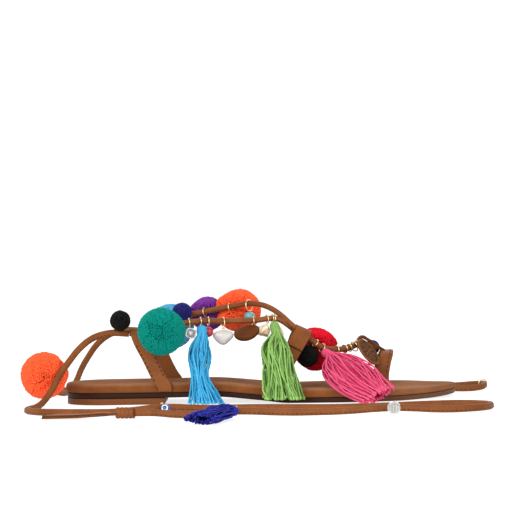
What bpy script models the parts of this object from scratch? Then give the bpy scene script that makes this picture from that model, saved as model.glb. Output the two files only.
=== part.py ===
"""Pom pom sandal for the right foot: a flat lace-up sandal with poms, yarn tassels and charms on its lace.

Tables and sizes are in millimetres, measured from the back of the heel (+X to the toe, +Y to the inner side of
the foot, +Z up). Solids are written in metres, with the origin on the floor under the middle of the heel.
"""

from collections import namedtuple

import bmesh
import bpy
import numpy as np
from mathutils import Matrix, Vector

for item in list(bpy.data.objects):
    bpy.data.objects.remove(item, do_unlink=True)

# Driving dimensions
MM = 0.001
GAP = 0.3  # between pieces that touch
SOLE_LENGTH = 250.0
HEEL_SEAT = 30.0  # from the back of the heel to the origin
HEEL_ROUND = 29.0  # length of the heel's round end
TOE_ROUND = 45.0
SOLE_STATIONS = 27
OUTSOLE_THICK = 3.0
OUTSOLE_INSET = 0.9
HEEL_BREAST = 65.0  # from the back of the heel to the lift's front face
STRAP_THICK = 2.0
STRAP_STEP = 2.8  # between the sections of a folded strap
POST_WIDTH = 9.0
MIDFOOT_WIDTH = 10.5
TOE_LOOP_WIDTH = 7.5
LACE = 3.4  # diameter of the lace
LACE_STEP = 5.5
TIE = 4.0  # diameter of the lace's free ends
TIE_STEP = 11.5
RING_RADIUS = 2.7  # to the middle of a jump ring's wire
RING_WIRE = 0.4  # radius of the wire
DENT_ROOM = 0.6  # between a pom and the dent it makes in its neighbour

# Sides and rings of the round pieces
LACE_SIDES = 8
BUNDLE_SIDES = 10
POM_RINGS = 7
POM_SIDES = 11
RING_SIDES = 10
WIRE_SIDES = 4
CHARM_SIDES = 8

LEATHER = (0.33, 0.14, 0.06)
GOLD = (0.80, 0.58, 0.22)

# Sole: middle line and half width of the outline, height of the outsole's underside, thickness of the footbed
SoleRow = namedtuple("SoleRow", "from_heel centre half_width ground footbed")
SOLE = [
    SoleRow(0, 0.0, 29.0, 4.2, 6.2),
    SoleRow(30, -0.3, 29.0, 4.2, 6.2),
    SoleRow(66, -1.8, 29.3, 4.2, 6.2),
    SoleRow(92, -4.2, 29.6, 4.5, 6.2),
    SoleRow(124, -4.6, 33.0, 1.0, 6.2),
    SoleRow(142, -4.0, 36.6, 0.0, 6.2),
    SoleRow(180, -0.5, 43.5, 0.0, 6.0),
    SoleRow(205, 2.5, 42.5, 0.0, 5.5),
    SoleRow(230, 7.0, 39.0, 0.9, 5.0),
    SoleRow(250, 11.0, 36.0, 3.4, 4.6),
]

# Edge of the footbed, from its underside up: inset from the outline and share of the thickness
EdgeRow = namedtuple("EdgeRow", "inset share")
FOOTBED_EDGE = [
    EdgeRow(1.4, 0.0),
    EdgeRow(0.3, 0.18),
    EdgeRow(0.0, 0.5),
    EdgeRow(0.5, 0.82),
    EdgeRow(2.2, 1.0),
]

# The lace, by hand from the photo: from each heel post over the instep, through the midfoot loop to the toe tab
RoutePoint = namedtuple("RoutePoint", "from_heel inner height")
LACE_LATERAL = [
    RoutePoint(42.6, -29.4, 44.8),
    RoutePoint(52, -29.5, 45.0),
    RoutePoint(64, -29.2, 46.4),
    RoutePoint(78, -28.2, 50.8),
    RoutePoint(88, -26.8, 51.7),
    RoutePoint(102, -23.5, 51.4),
    RoutePoint(120, -18.5, 51.2),
    RoutePoint(136.8, -13.2, 51.4),
    RoutePoint(144, -11.2, 46.4),
    RoutePoint(149.7, -10.1, 41.0),
    RoutePoint(154.8, -8.6, 37.2),
    RoutePoint(163.7, -1.6, 32.8),
    RoutePoint(172.8, 5.5, 31.1),
    RoutePoint(181.4, 11.8, 31.8),
    RoutePoint(186, 15.0, 33.4),
    RoutePoint(189.2, 16.0, 35.0),
    RoutePoint(190.4, 14.2, 35.6),
]
LACE_MEDIAL = [
    RoutePoint(47.6, 25.8, 44.8),
    RoutePoint(57, 26.0, 45.2),
    RoutePoint(66, 25.4, 48.7),
    RoutePoint(74, 24.2, 53.0),
    RoutePoint(88, 20.0, 56.3),
    RoutePoint(105, 11.5, 59.4),
    RoutePoint(121.6, 0.8, 61.5),
    RoutePoint(130.6, -6.2, 59.0),
    RoutePoint(137.2, -10.6, 54.8),
    RoutePoint(144.8, -12.8, 47.8),
    RoutePoint(151.3, -12.9, 42.5),
    RoutePoint(156.4, -12.6, 38.4),
    RoutePoint(163.7, -8.5, 33.0),
    RoutePoint(172.8, -1.3, 31.2),
    RoutePoint(181.4, 5.0, 31.9),
    RoutePoint(185.6, 8.4, 33.4),
    RoutePoint(189.0, 11.8, 35.0),
    RoutePoint(190.4, 14.2, 35.6),
]

# The straps' middle lines: a tab under the footbed, up over its side, a loop round the lace, the end sewn down
POST_LATERAL = [
    RoutePoint(64.5, -23.5, 8.6),
    RoutePoint(64.5, -29.6, 8.6),
    RoutePoint(64.4, -32.1, 9.4),
    RoutePoint(64.2, -32.8, 11.6),
    RoutePoint(62.2, -32.7, 14.6),
    RoutePoint(55.0, -32.4, 29.2),
    RoutePoint(48.6, -32.2, 42.7),
    RoutePoint(47.6, -31.2, 46.4),
    RoutePoint(47.4, -29.2, 47.5),
    RoutePoint(47.6, -27.2, 46.2),
    RoutePoint(48.3, -26.9, 43.6),
    RoutePoint(50.0, -29.0, 39.2),
    RoutePoint(52.5, -30.6, 34.2),
    RoutePoint(54.5, -30.6, 30.2),
]
POST_SHIFT = 5.0  # the inner post stands this much further forward
POST_INNER = 29.0  # the inner post's middle line, where it passes the footbed's edge
MIDFOOT_STRAP = [
    RoutePoint(129.5, -31.0, 5.4),
    RoutePoint(129.5, -36.8, 5.4),
    RoutePoint(129.6, -39.7, 6.3),
    RoutePoint(129.9, -40.4, 8.6),
    RoutePoint(131.6, -39.9, 11.8),
    RoutePoint(137.0, -33.6, 19.8),
    RoutePoint(143.5, -24.8, 29.7),
    RoutePoint(148.6, -18.2, 37.8),
    RoutePoint(151.6, -15.2, 43.7),
    RoutePoint(152.0, -12.4, 45.8),
    RoutePoint(150.6, -8.6, 44.4),
    RoutePoint(148.3, -7.4, 40.2),
    RoutePoint(147.2, -9.8, 36.6),
    RoutePoint(144.8, -17.6, 31.8),
    RoutePoint(141.6, -23.6, 26.8),
]
TOE_LOOP = [
    RoutePoint(202.0, 7.5, 4.0),
    RoutePoint(202.0, 7.5, 9.0),
    RoutePoint(202.2, 7.5, 14.4),
    RoutePoint(203.4, 8.6, 21.2),
    RoutePoint(205.2, 13.4, 26.8),
    RoutePoint(205.9, 22.0, 28.8),
    RoutePoint(205.2, 30.6, 26.8),
    RoutePoint(203.4, 35.4, 21.2),
    RoutePoint(202.2, 36.5, 14.4),
    RoutePoint(202.0, 36.5, 9.0),
    RoutePoint(202.0, 36.5, 4.0),
]
TOE_TAB = [
    RoutePoint(205.4, 22.0, 28.7),
    RoutePoint(199.0, 18.8, 32.9),
    RoutePoint(193.6, 15.9, 36.9),
    RoutePoint(190.2, 14.1, 38.4),
    RoutePoint(187.6, 12.6, 36.2),
    RoutePoint(188.6, 13.2, 33.5),
    RoutePoint(192.0, 15.0, 33.6),
    RoutePoint(195.6, 17.0, 33.2),
    RoutePoint(199.0, 18.8, 31.0),
]

# The free ends of the lace: down from the heel posts and along the floor in loose curves
ON_FLOOR = TIE / 2 + 0.3
ON_RING = RING_RADIUS + RING_WIRE + 0.8  # lifted by a ring
IN_CAP = 3.5  # at a leather tassel's cap
EYE_SPOT = RoutePoint(66, -119, ON_RING)
CRYSTAL_SPOT = RoutePoint(200, -160, ON_RING)
NAVY_SPOT = RoutePoint(110, -165, ON_RING)
GOLD_SPOT = RoutePoint(-17, 91, ON_RING)
TURQUOISE_SPOT = RoutePoint(273, 66, ON_RING)
TIE_LATERAL = [
    RoutePoint(42.3, -29.4, 44.8),
    RoutePoint(33, -30.5, 45.5),
    RoutePoint(24, -33, 44.2),
    RoutePoint(15, -37.5, 39.2),
    RoutePoint(7, -43.5, 30.2),
    RoutePoint(0.5, -50, 21.0),
    RoutePoint(-5, -57, 10.5),
    RoutePoint(-9.5, -65, 4.4),
    RoutePoint(-13, -76, ON_FLOOR),
    RoutePoint(-16, -95, ON_FLOOR),
    RoutePoint(-8, -114, ON_FLOOR),
    RoutePoint(14, -126, ON_FLOOR),
    RoutePoint(40, -128, ON_FLOOR),
    EYE_SPOT,
    RoutePoint(92, -110, ON_FLOOR),
    RoutePoint(120, -111, ON_FLOOR),
    RoutePoint(146, -119, ON_FLOOR),
    RoutePoint(172, -124, ON_FLOOR),
    RoutePoint(198, -119, ON_FLOOR),
    RoutePoint(222, -110, ON_FLOOR),
    RoutePoint(244, -108, ON_FLOOR),
    RoutePoint(258, -121, ON_FLOOR),
    RoutePoint(254, -142, ON_FLOOR),
    RoutePoint(230, -156, ON_FLOOR),
    CRYSTAL_SPOT,
    RoutePoint(170, -156, ON_FLOOR),
    RoutePoint(140, -158, ON_FLOOR),
    NAVY_SPOT,
    RoutePoint(80, -164, ON_FLOOR),
    RoutePoint(63, -159.6, IN_CAP),
    RoutePoint(52, -157, IN_CAP),
]
TIE_MEDIAL = [
    RoutePoint(47.3, 25.8, 44.8),
    RoutePoint(38, 26.5, 45.4),
    RoutePoint(29, 29.5, 43.7),
    RoutePoint(20, 34.5, 38.2),
    RoutePoint(12.5, 41, 29.2),
    RoutePoint(6.5, 48.5, 20.0),
    RoutePoint(1.5, 56.5, 10.0),
    RoutePoint(-3, 65, 4.4),
    RoutePoint(-8, 75, ON_FLOOR),
    GOLD_SPOT,
    RoutePoint(-14, 108, ON_FLOOR),
    RoutePoint(4, 115, ON_FLOOR),
    RoutePoint(30, 111, ON_FLOOR),
    RoutePoint(54, 100, ON_FLOOR),
    RoutePoint(78, 92, ON_FLOOR),
    RoutePoint(104, 92, ON_FLOOR),
    RoutePoint(130, 100, ON_FLOOR),
    RoutePoint(156, 108, ON_FLOOR),
    RoutePoint(182, 109, ON_FLOOR),
    RoutePoint(208, 102, ON_FLOOR),
    RoutePoint(232, 92, ON_FLOOR),
    RoutePoint(256, 82, ON_FLOOR),
    TURQUOISE_SPOT,
    RoutePoint(268, 50, ON_FLOOR),
    RoutePoint(248, 49, ON_FLOOR),
    RoutePoint(226, 58, ON_FLOOR),
    RoutePoint(202, 66, ON_FLOOR),
    RoutePoint(176, 68, ON_FLOOR),
    RoutePoint(150, 63, ON_FLOOR),
    RoutePoint(124, 57, ON_FLOOR),
    RoutePoint(98, 58, ON_FLOOR),
    RoutePoint(83, 61.4, IN_CAP),
    RoutePoint(72, 64, IN_CAP),
]

# What carries the ornaments: its route, the step between its sections, from its middle line to its surface
Holder = namedtuple("Holder", "route step half")
OUTER_LACE = Holder(LACE_LATERAL, LACE_STEP, LACE / 2)
INNER_LACE = Holder(LACE_MEDIAL, LACE_STEP, LACE / 2)
TAB = Holder(TOE_TAB, STRAP_STEP, TOE_LOOP_WIDTH / 2)
OUTER_TIE = Holder(TIE_LATERAL, TIE_STEP, TIE / 2)
INNER_TIE = Holder(TIE_MEDIAL, TIE_STEP, TIE / 2)

# Poms: what they are strung on and where, diameter, the way they sit from it, the pom that presses into them
Pom = namedtuple("Pom", "name holder place across sits colour pressed_by")
POMS = [
    Pom("teal", OUTER_LACE, 62.6, 30.0, (0, -1, -0.02), (0.0, 0.24, 0.17), None),
    Pom("light_blue", INNER_LACE, 64, 29.9, (0.1, 1, -0.1), (0.10, 0.48, 0.75), None),
    Pom("navy", INNER_LACE, 77, 13.0, (0, -0.93, 0.36), (0.02, 0.02, 0.18), None),
    Pom("purple", INNER_LACE, 86, 23.0, (0, 0.97, -0.15), (0.18, 0.03, 0.30), "orange"),
    Pom("orange", INNER_LACE, 103, 28.6, (0, 0.97, -0.22), (1.0, 0.12, 0.04), None),
    Pom("red", OUTER_LACE, 170, 28.5, (0, 1, -0.08), (0.57, 0.006, 0.02), "black"),
    Pom("black", OUTER_LACE, 157, 14.0, (0.2, 0.15, -0.97), (0.009, 0.009, 0.009), None),
    Pom("toe_navy", TAB, 201.5, 10.0, (0, 0.96, -0.28), (0.02, 0.02, 0.18), None),
    Pom("tie_black", OUTER_TIE, RoutePoint(36.5, -30, 47), 13.0, (-0.1, -0.45, 0.88), (0.009, 0.009, 0.009), None),
    Pom("tie_orange", OUTER_TIE, RoutePoint(0.5, -50, 21), 29.6, (-0.79, 0.51, -0.345), (1.0, 0.12, 0.04), None),
]

# Yarn tassels from the cap to the ends: middle line, width and thickness of the bundle
Bundle = namedtuple("Bundle", "from_heel inner height wide thick")
BLUE_YARN = [
    Bundle(87.9, -30.4, 48.8, 6.6, 6.6),
    Bundle(88.2, -33.0, 43.7, 8.0, 8.0),
    Bundle(86.2, -37.0, 30.6, 15.0, 10.0),
    Bundle(86.6, -41.5, 16.8, 11.0, 9.0),
    Bundle(89.0, -44.4, 7.0, 18.5, 11.0),
    Bundle(90.0, -45.2, 3.4, 21.7, 12.0),
]
GREEN_YARN = [
    Bundle(133.2, -17.0, 49.6, 6.4, 6.4),
    Bundle(134.6, -22.8, 43.7, 7.8, 7.8),
    Bundle(133.8, -34.5, 31.9, 19.0, 11.0),
    Bundle(135.6, -46.0, 19.2, 20.0, 10.0),
    Bundle(137.8, -53.0, 7.8, 24.0, 9.0),
    Bundle(138.6, -55.5, 4.0, 25.5, 9.0),
]
PINK_YARN = [
    Bundle(164.4, -11.0, 30.6, 6.0, 6.0),
    Bundle(168.0, -16.5, 28.4, 7.4, 7.4),
    Bundle(173.2, -26.0, 24.6, 20.0, 10.0),
    Bundle(180.2, -39.5, 19.8, 27.0, 9.0),
    Bundle(188.8, -53.0, 11.6, 25.0, 8.0),
    Bundle(195.8, -63.5, 5.0, 21.0, 7.0),
]
NAVY_YARN = [
    Bundle(109.4, -168.0, 4.4, 6.0, 6.0),
    Bundle(107.0, -175.0, 4.4, 7.8, 7.8),
    Bundle(103.0, -186.0, 5.0, 14.0, 9.0),
    Bundle(97.0, -202.0, 4.4, 15.0, 8.0),
    Bundle(90.5, -219.0, 3.6, 20.0, 6.8),
]
Tassel = namedtuple("Tassel", "name holder place wide_way colour rows")
TASSELS = [
    Tassel("blue", OUTER_LACE, 87, (1, 0, 0), (0.03, 0.35, 0.75), BLUE_YARN),
    Tassel("green", OUTER_LACE, 132.3, (1, -0.19, 0), (0.19, 0.51, 0.10), GREEN_YARN),
    Tassel("pink", INNER_LACE, 164, (0.93, 0.24, 0.28), (0.87, 0.06, 0.19), PINK_YARN),
    Tassel("tie_navy", OUTER_TIE, NAVY_SPOT, (1, 0, 0), (0.02, 0.025, 0.30), NAVY_YARN),
]

# Leather tassel on a tie's end, lying on the floor: from the tie's end, width and thickness
Strips = namedtuple("Strips", "along wide thick")
LEATHER_TASSEL = [
    Strips(0.0, 6.6, 6.6),
    Strips(11.0, 6.6, 6.6),
    Strips(13.0, 8.4, 5.0),
    Strips(32.0, 11.5, 4.0),
    Strips(54.0, 15.0, 3.0),
]

# Turned shapes of the charms: place on the axis and radius
Turn = namedtuple("Turn", "along radius")
BEZEL = [Turn(-1.5, 2.5), Turn(-0.6, 3.25), Turn(0.9, 3.25), Turn(1.5, 2.7)]
RED_BEAD = [Turn(-3.2, 0.9), Turn(-2.1, 2.5), Turn(0.0, 3.25), Turn(2.1, 2.5), Turn(3.2, 0.9)]
STONE = [Turn(-6.6, 1.4), Turn(-4.6, 4.0), Turn(-0.5, 4.8), Turn(3.8, 4.4), Turn(6.4, 2.0)]
LEATHER_DISC = [Turn(-0.9, 7.9), Turn(-0.5, 8.25), Turn(0.5, 8.25), Turn(0.9, 7.9)]
CONE_SHELL = [Turn(-6.5, 0.6), Turn(-2.5, 2.3), Turn(2.5, 3.6), Turn(5.0, 3.8), Turn(6.4, 1.6)]
COWRIE = [Turn(-4.8, 0.9), Turn(-3.2, 2.4), Turn(0.0, 3.25), Turn(3.2, 2.6), Turn(4.8, 1.0)]
STONE_BEAD = [Turn(-2.6, 1.2), Turn(-1.5, 3.0), Turn(0.0, 3.5), Turn(1.5, 3.0), Turn(2.6, 1.2)]
COIN = [Turn(-0.8, 10.5), Turn(-0.5, 11.0), Turn(0.5, 11.0), Turn(0.8, 10.5)]
EYE_BEAD = [Turn(-2.9, 0.9), Turn(-1.9, 2.3), Turn(0.0, 3.0), Turn(1.9, 2.3), Turn(2.9, 0.9)]
CRYSTAL_BALL = [Turn(-3.8, 1.2), Turn(-2.5, 3.0), Turn(0.0, 3.9), Turn(2.5, 3.0), Turn(3.8, 1.2)]
FLAT_STONE = [Turn(-1.5, 3.4), Turn(-0.7, 4.25), Turn(0.7, 4.25), Turn(1.5, 3.4)]
GOLD_DISC = [Turn(-0.7, 5.7), Turn(-0.4, 6.0), Turn(0.4, 6.0), Turn(0.7, 5.7)]

# Charms: radius of their ring, the way they hang from the lace, distance from the ring to their middle, shift along
# the lace, turned shape with its axis, the way it is pressed and how much; loose ones swing on the lace
Charm = namedtuple("Charm", "name holder place ring hangs drop shift shape axis press flatten loose look")
DOWN = (0, 0, -1)
ALONG = (1, 0, 0)
SIDE = (0, 1, 0)
UP = (0, 0, 1)
SILVER_LOOK = ((0.75, 0.76, 0.78), 0.15, 1.0)
RED_LOOK = ((0.45, 0.02, 0.05), 0.2, 0.0)
STONE_LOOK = ((0.80, 0.74, 0.73), 0.6, 0.0)
LEATHER_LOOK = (LEATHER, 0.45, 0.0)
SHELL_LOOK = ((0.82, 0.66, 0.48), 0.3, 0.0)
TURQUOISE_LOOK = ((0.10, 0.42, 0.42), 0.4, 0.0)
BRONZE_LOOK = ((0.16, 0.085, 0.045), 0.4, 1.0)
EYE_LOOK = ((0.02, 0.04, 0.30), 0.1, 0.0)
CRYSTAL_LOOK = ((0.8, 0.85, 0.85), 0.05, 0.0)
GOLD_LOOK = (GOLD, 0.25, 1.0)
CHARMS = [
    Charm("crystal", OUTER_LACE, 79.7, 2.7, DOWN, 3.25, 0, BEZEL, SIDE, UP, 1, True, SILVER_LOOK),
    Charm("red_bead", OUTER_LACE, 92.6, 2.7, DOWN, 3.25, 0, RED_BEAD, UP, SIDE, 1, True, RED_LOOK),
    Charm("white_stone", OUTER_LACE, 101.2, 3.6, DOWN, 4.8, 0, STONE, ALONG, SIDE, 0.72, True, STONE_LOOK),
    Charm(
        "leather_disc", OUTER_LACE, 120.5, 2.7, (0, -0.6, -0.8), 5.2, -6.6,
        LEATHER_DISC, (-0.21, -0.5, 0.84), ALONG, 1, False, LEATHER_LOOK,
    ),
    Charm(
        "cone_shell", OUTER_LACE, 129.4, 2.7, DOWN, 3.4, -5.4,
        CONE_SHELL, (0.95, 0.28, 0.05), SIDE, 0.9, True, SHELL_LOOK,
    ),
    Charm(
        "cowrie", OUTER_LACE, 134.2, 2.7, DOWN, 4.6, 3.0,
        COWRIE, (-0.5, -0.15, 0.85), SIDE, 0.77, True, SHELL_LOOK,
    ),
    Charm("turquoise", INNER_LACE, 118.2, 3.6, DOWN, 2.6, 0, STONE_BEAD, UP, SIDE, 1, True, TURQUOISE_LOOK),
    Charm(
        "coin", INNER_LACE, 184.4, 3.1, (0.63, -0.63, -0.45), 6.4, 0,
        COIN, (0.78, -0.34, 0.52), SIDE, 1, True, BRONZE_LOOK,
    ),
    Charm("tie_eye", OUTER_TIE, EYE_SPOT, 2.7, (0, -1, -0.08), 3.0, 0, EYE_BEAD, UP, SIDE, 1, False, EYE_LOOK),
    Charm(
        "tie_crystal", OUTER_TIE, CRYSTAL_SPOT, 2.7, (0, -1, 0.06), 3.9, 0,
        CRYSTAL_BALL, UP, SIDE, 1, False, CRYSTAL_LOOK,
    ),
    Charm(
        "tie_turquoise", INNER_TIE, TURQUOISE_SPOT, 3.0, (-1, -0.1, -0.28), 4.2, -0.6,
        FLAT_STONE, UP, SIDE, 1, False, TURQUOISE_LOOK,
    ),
    Charm(
        "tie_gold_disc", INNER_TIE, GOLD_SPOT, 3.0, (-1, -0.1, -0.27), 5.3, 0,
        GOLD_DISC, UP, SIDE, 1, False, GOLD_LOOK,
    ),
]


# Curves and sections
def smooth(rows, column, at):
    """Monotone cubic curve through one column of a table: rows of equal value stay flat between them."""
    x = np.array([row.from_heel for row in rows], float)
    y = np.array([getattr(row, column) for row in rows], float)
    step = np.diff(x)
    slope = np.diff(y) / step
    product = slope[:-1] * slope[1:]
    total = np.where(product > 0, slope[:-1] + slope[1:], 1.0)
    inner = np.where(product > 0, 2 * product / total, 0.0)
    tangent = np.concatenate([slope[:1], inner, slope[-1:]])
    i = np.clip(np.searchsorted(x, at, side="right") - 1, 0, len(step) - 1)
    t = (at - x[i]) / step[i]
    return (
        y[i] * (1 + 2 * t) * (1 - t) ** 2
        + y[i + 1] * t**2 * (3 - 2 * t)
        + step[i] * (tangent[i] * t * (1 - t) ** 2 - tangent[i + 1] * t**2 * (1 - t))
    )


def through(points, step):
    """Evenly spaced points, about one step apart, on a smooth curve through a route."""
    knots = np.array(points, float)
    reach = np.concatenate([[0], np.cumsum(np.linalg.norm(np.diff(knots, axis=0), axis=1))])
    slope = np.gradient(knots, reach, axis=0)
    at = np.linspace(0, reach[-1], 40 * len(knots))
    i = np.clip(np.searchsorted(reach, at, side="right") - 1, 0, len(knots) - 2)
    size = (reach[i + 1] - reach[i])[:, None]
    t = (at - reach[i])[:, None] / size
    fine = (
        knots[i] * (1 + 2 * t) * (1 - t) ** 2
        + knots[i + 1] * t**2 * (3 - 2 * t)
        + size * (slope[i] * t * (1 - t) ** 2 - slope[i + 1] * t**2 * (1 - t))
    )
    run = np.concatenate([[0], np.cumsum(np.linalg.norm(np.diff(fine, axis=0), axis=1))])
    even = np.linspace(0, run[-1], max(2, round(run[-1] / step) + 1))
    return np.column_stack([np.interp(even, run, fine[:, k]) for k in range(3)])


def unit(vectors):
    vectors = np.asarray(vectors, float)
    return vectors / np.linalg.norm(vectors, axis=-1, keepdims=True)


def round_profile(radius, sides):
    angle = 2 * np.pi * np.arange(sides) / sides
    return radius * np.column_stack([np.cos(angle), np.sin(angle)])


def strap_profile(width, thick):
    """Flat strap with softened edges."""
    corner = np.array([(1, 0.4), (0.92, 1), (-0.92, 1), (-1, 0.4), (-1, -0.4), (-0.92, -1), (0.92, -1), (1, -0.4)])
    return corner * (width / 2, thick / 2)


def swept(path, profile, side, closed=False):
    """One profile, or one for each place, carried along a path; its first axis stays near the side vector."""
    path = np.asarray(path, float)
    if closed:
        tangent = unit(np.roll(path, -1, axis=0) - np.roll(path, 1, axis=0))
    else:
        tangent = unit(np.gradient(path, axis=0))
    side = np.asarray(side, float)
    across = unit(side - (tangent @ side)[:, None] * tangent)
    out = np.cross(tangent, across)
    return path[:, None] + profile[..., :1] * across[:, None] + profile[..., 1:] * out[:, None]


def on_route(holder, place):
    """Point and direction of a route, at a distance from the heel's back or nearest to one of its spots."""
    path = through(holder.route, holder.step)
    fine = np.linspace(0, len(path) - 1, 40 * len(path))
    points = np.column_stack([np.interp(fine, np.arange(len(path)), path[:, k]) for k in range(3)])
    if isinstance(place, RoutePoint):
        off = np.linalg.norm(points - place, axis=1)
    else:
        off = abs(points[:, 0] - place)
    k = np.argmin(off)
    return points[k], unit(points[k + 1] - points[k - 1])


def square_to(vector, direction):
    """Unit vector of the part of a vector that is square to a direction."""
    vector = np.asarray(vector, float)
    return unit(vector - (vector @ direction) * direction)


def turned(centre, axis, rows, sides, press=UP, flatten=1.0):
    """Circles along an axis, from rows of distance and radius, pressed flat one way."""
    axis = unit(axis)
    first = square_to(press, axis)
    second = np.cross(axis, first)
    ring = round_profile(1.0, sides)
    spread = flatten * ring[:, :1] * first + ring[:, 1:] * second
    return np.array([np.asarray(centre) + row.along * axis + row.radius * spread for row in rows])


def ball(radius, rings):
    """Rows of a turned ball."""
    angle = np.pi * (np.arange(rings) + 0.5) / rings
    return [Turn(-radius * np.cos(a), radius * np.sin(a)) for a in angle]


def bundled(rows, wide_way):
    """Ovals along the middle line of a bundle."""
    path = np.array([(row.from_heel, row.inner, row.height) for row in rows])
    size = np.array([(row.wide, row.thick) for row in rows])
    return swept(path, round_profile(0.5, BUNDLE_SIDES) * size[:, None], wide_way)


# Making solids
def finish(colour, roughness, metallic, name):
    material = bpy.data.materials.new(name)
    material.use_nodes = True
    shader = material.node_tree.nodes["Principled BSDF"]
    shader.inputs["Base Color"].default_value = (*colour, 1.0)
    shader.inputs["Roughness"].default_value = roughness
    shader.inputs["Metallic"].default_value = metallic
    return material


def world(points):
    return (np.asarray(points, float) - (HEEL_SEAT, 0, 0)) * MM


def solid(name, points, faces, look, hinge=None):
    """Closed mesh object from points in millimetres; one with a hinge has its origin there and hangs on it."""
    mesh = bpy.data.meshes.new(name)
    mesh.from_pydata(world(points).tolist(), [], faces)
    shape = bmesh.new()
    shape.from_mesh(mesh)
    bmesh.ops.recalc_face_normals(shape, faces=shape.faces)
    shape.to_mesh(mesh)
    shape.free()
    mesh.shade_smooth()
    mesh.set_sharp_from_angle(angle=np.radians(40))
    mesh.materials.append(finish(*look, name))
    made = bpy.data.objects.new(name, mesh)
    if hinge is not None:
        mesh.transform(Matrix.Translation(-hinge.location))
        made.parent = hinge
    bpy.context.collection.objects.link(made)
    return made


def loft(name, rings, look, closed=False, hinge=None):
    """Skin over rings of points, with flat ends or joined end to end."""
    count, sides = rings.shape[:2]
    turns = count if closed else count - 1
    faces = [
        [
            i * sides + j,
            i * sides + (j + 1) % sides,
            (i + 1) % count * sides + (j + 1) % sides,
            (i + 1) % count * sides + j,
        ]
        for i in range(turns)
        for j in range(sides)
    ]
    if not closed:
        faces += [list(range(sides)), list(range((count - 1) * sides, count * sides))]
    return solid(name, rings.reshape(-1, 3), faces, look, hinge)


def combine(target, others, operation):
    """Boolean of the target with guide objects, which stay hidden."""
    for other in others:
        other.hide_render = True
        other.display_type = "WIRE"
        step = target.modifiers.new(f"{operation.lower()} {other.name}", "BOOLEAN")
        step.operation = operation
        step.object = other
        step.solver = "EXACT"


def hinge_at(name, point):
    pivot = bpy.data.objects.new(f"pivot_{name}", None)
    pivot.location = Vector(world(point))
    bpy.context.collection.objects.link(pivot)
    bpy.context.view_layer.update()
    return pivot


# Sole
def end_round(at):
    """Quarter ellipses that bring the outline's half width to nothing at the heel and the toe."""
    heel = np.sqrt(np.clip(1 - (1 - np.minimum(at / HEEL_ROUND, 1)) ** 2, 0, 1))
    from_toe = np.minimum((SOLE_LENGTH - at) / TOE_ROUND, 1)
    return heel * np.sqrt(np.clip(1 - (1 - from_toe) ** 2, 0, 1))


def ground(at):
    return smooth(SOLE, "ground", np.clip(at, 0, SOLE_LENGTH))


def footbed_under(at):
    return ground(at) + OUTSOLE_THICK + GAP


def footbed_top(at):
    return footbed_under(at) + smooth(SOLE, "footbed", np.clip(at, 0, SOLE_LENGTH))


def outline(stations, inset):
    """The sole's outline, inner side to the front and outer side back, moved in by the inset."""
    middle = smooth(SOLE, "centre", stations)
    half = smooth(SOLE, "half_width", stations) * end_round(stations)
    inner = np.column_stack([stations, middle + half])
    outer = np.column_stack([stations, middle - half])
    last = -1 if stations[-1] == SOLE_LENGTH else None
    ring = np.concatenate([inner, outer[1:last][::-1]])
    along = unit(np.roll(ring, -1, axis=0) - np.roll(ring, 1, axis=0))
    return ring + inset * np.column_stack([along[:, 1], -along[:, 0]])


def slab(name, stations, layers, look):
    """Stacked outlines, each with its inset and its height over the length, closed by strips across."""
    rings = []
    for inset, height in layers:
        flat = outline(stations, inset)
        rings.append(np.column_stack([flat, height(flat[:, 0])]))
    rings = np.array(rings)
    count, sides = rings.shape[:2]
    faces = [
        [i * sides + j, i * sides + (j + 1) % sides, (i + 1) * sides + (j + 1) % sides, (i + 1) * sides + j]
        for i in range(count - 1)
        for j in range(sides)
    ]
    for base in (0, (count - 1) * sides):
        for i in range(len(stations) - 1):
            strip = [i, i + 1, (sides - i - 1) % sides, (sides - i) % sides]
            faces.append([base + j for j in dict.fromkeys(strip)])
    return solid(name, rings.reshape(-1, 3), faces, look)


def box(name, low, high):
    corners = [(x, y, z) for x in (low[0], high[0]) for y in (low[1], high[1]) for z in (low[2], high[2])]
    sides = [(0, 1, 3, 2), (4, 6, 7, 5), (0, 4, 5, 1), (2, 3, 7, 6), (0, 2, 6, 4), (1, 5, 7, 3)]
    return solid(name, corners, sides, (LEATHER, 0.5, 0.0))


def notch(name, strap, width, room):
    """Room under the footbed's edge for a strap's tab, from its inner end out past the edge."""
    tab, bend = strap[0], strap[3]
    inner, outer = sorted((tab.inner, 1.3 * bend.inner))
    if tab.inner > 0:
        inner -= GAP
    else:
        outer += GAP
    half = width / 2 + GAP
    low = (tab.from_heel - half, inner, tab.height - 6)
    return box(name, low, (tab.from_heel + half, outer, tab.height + room))


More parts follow.
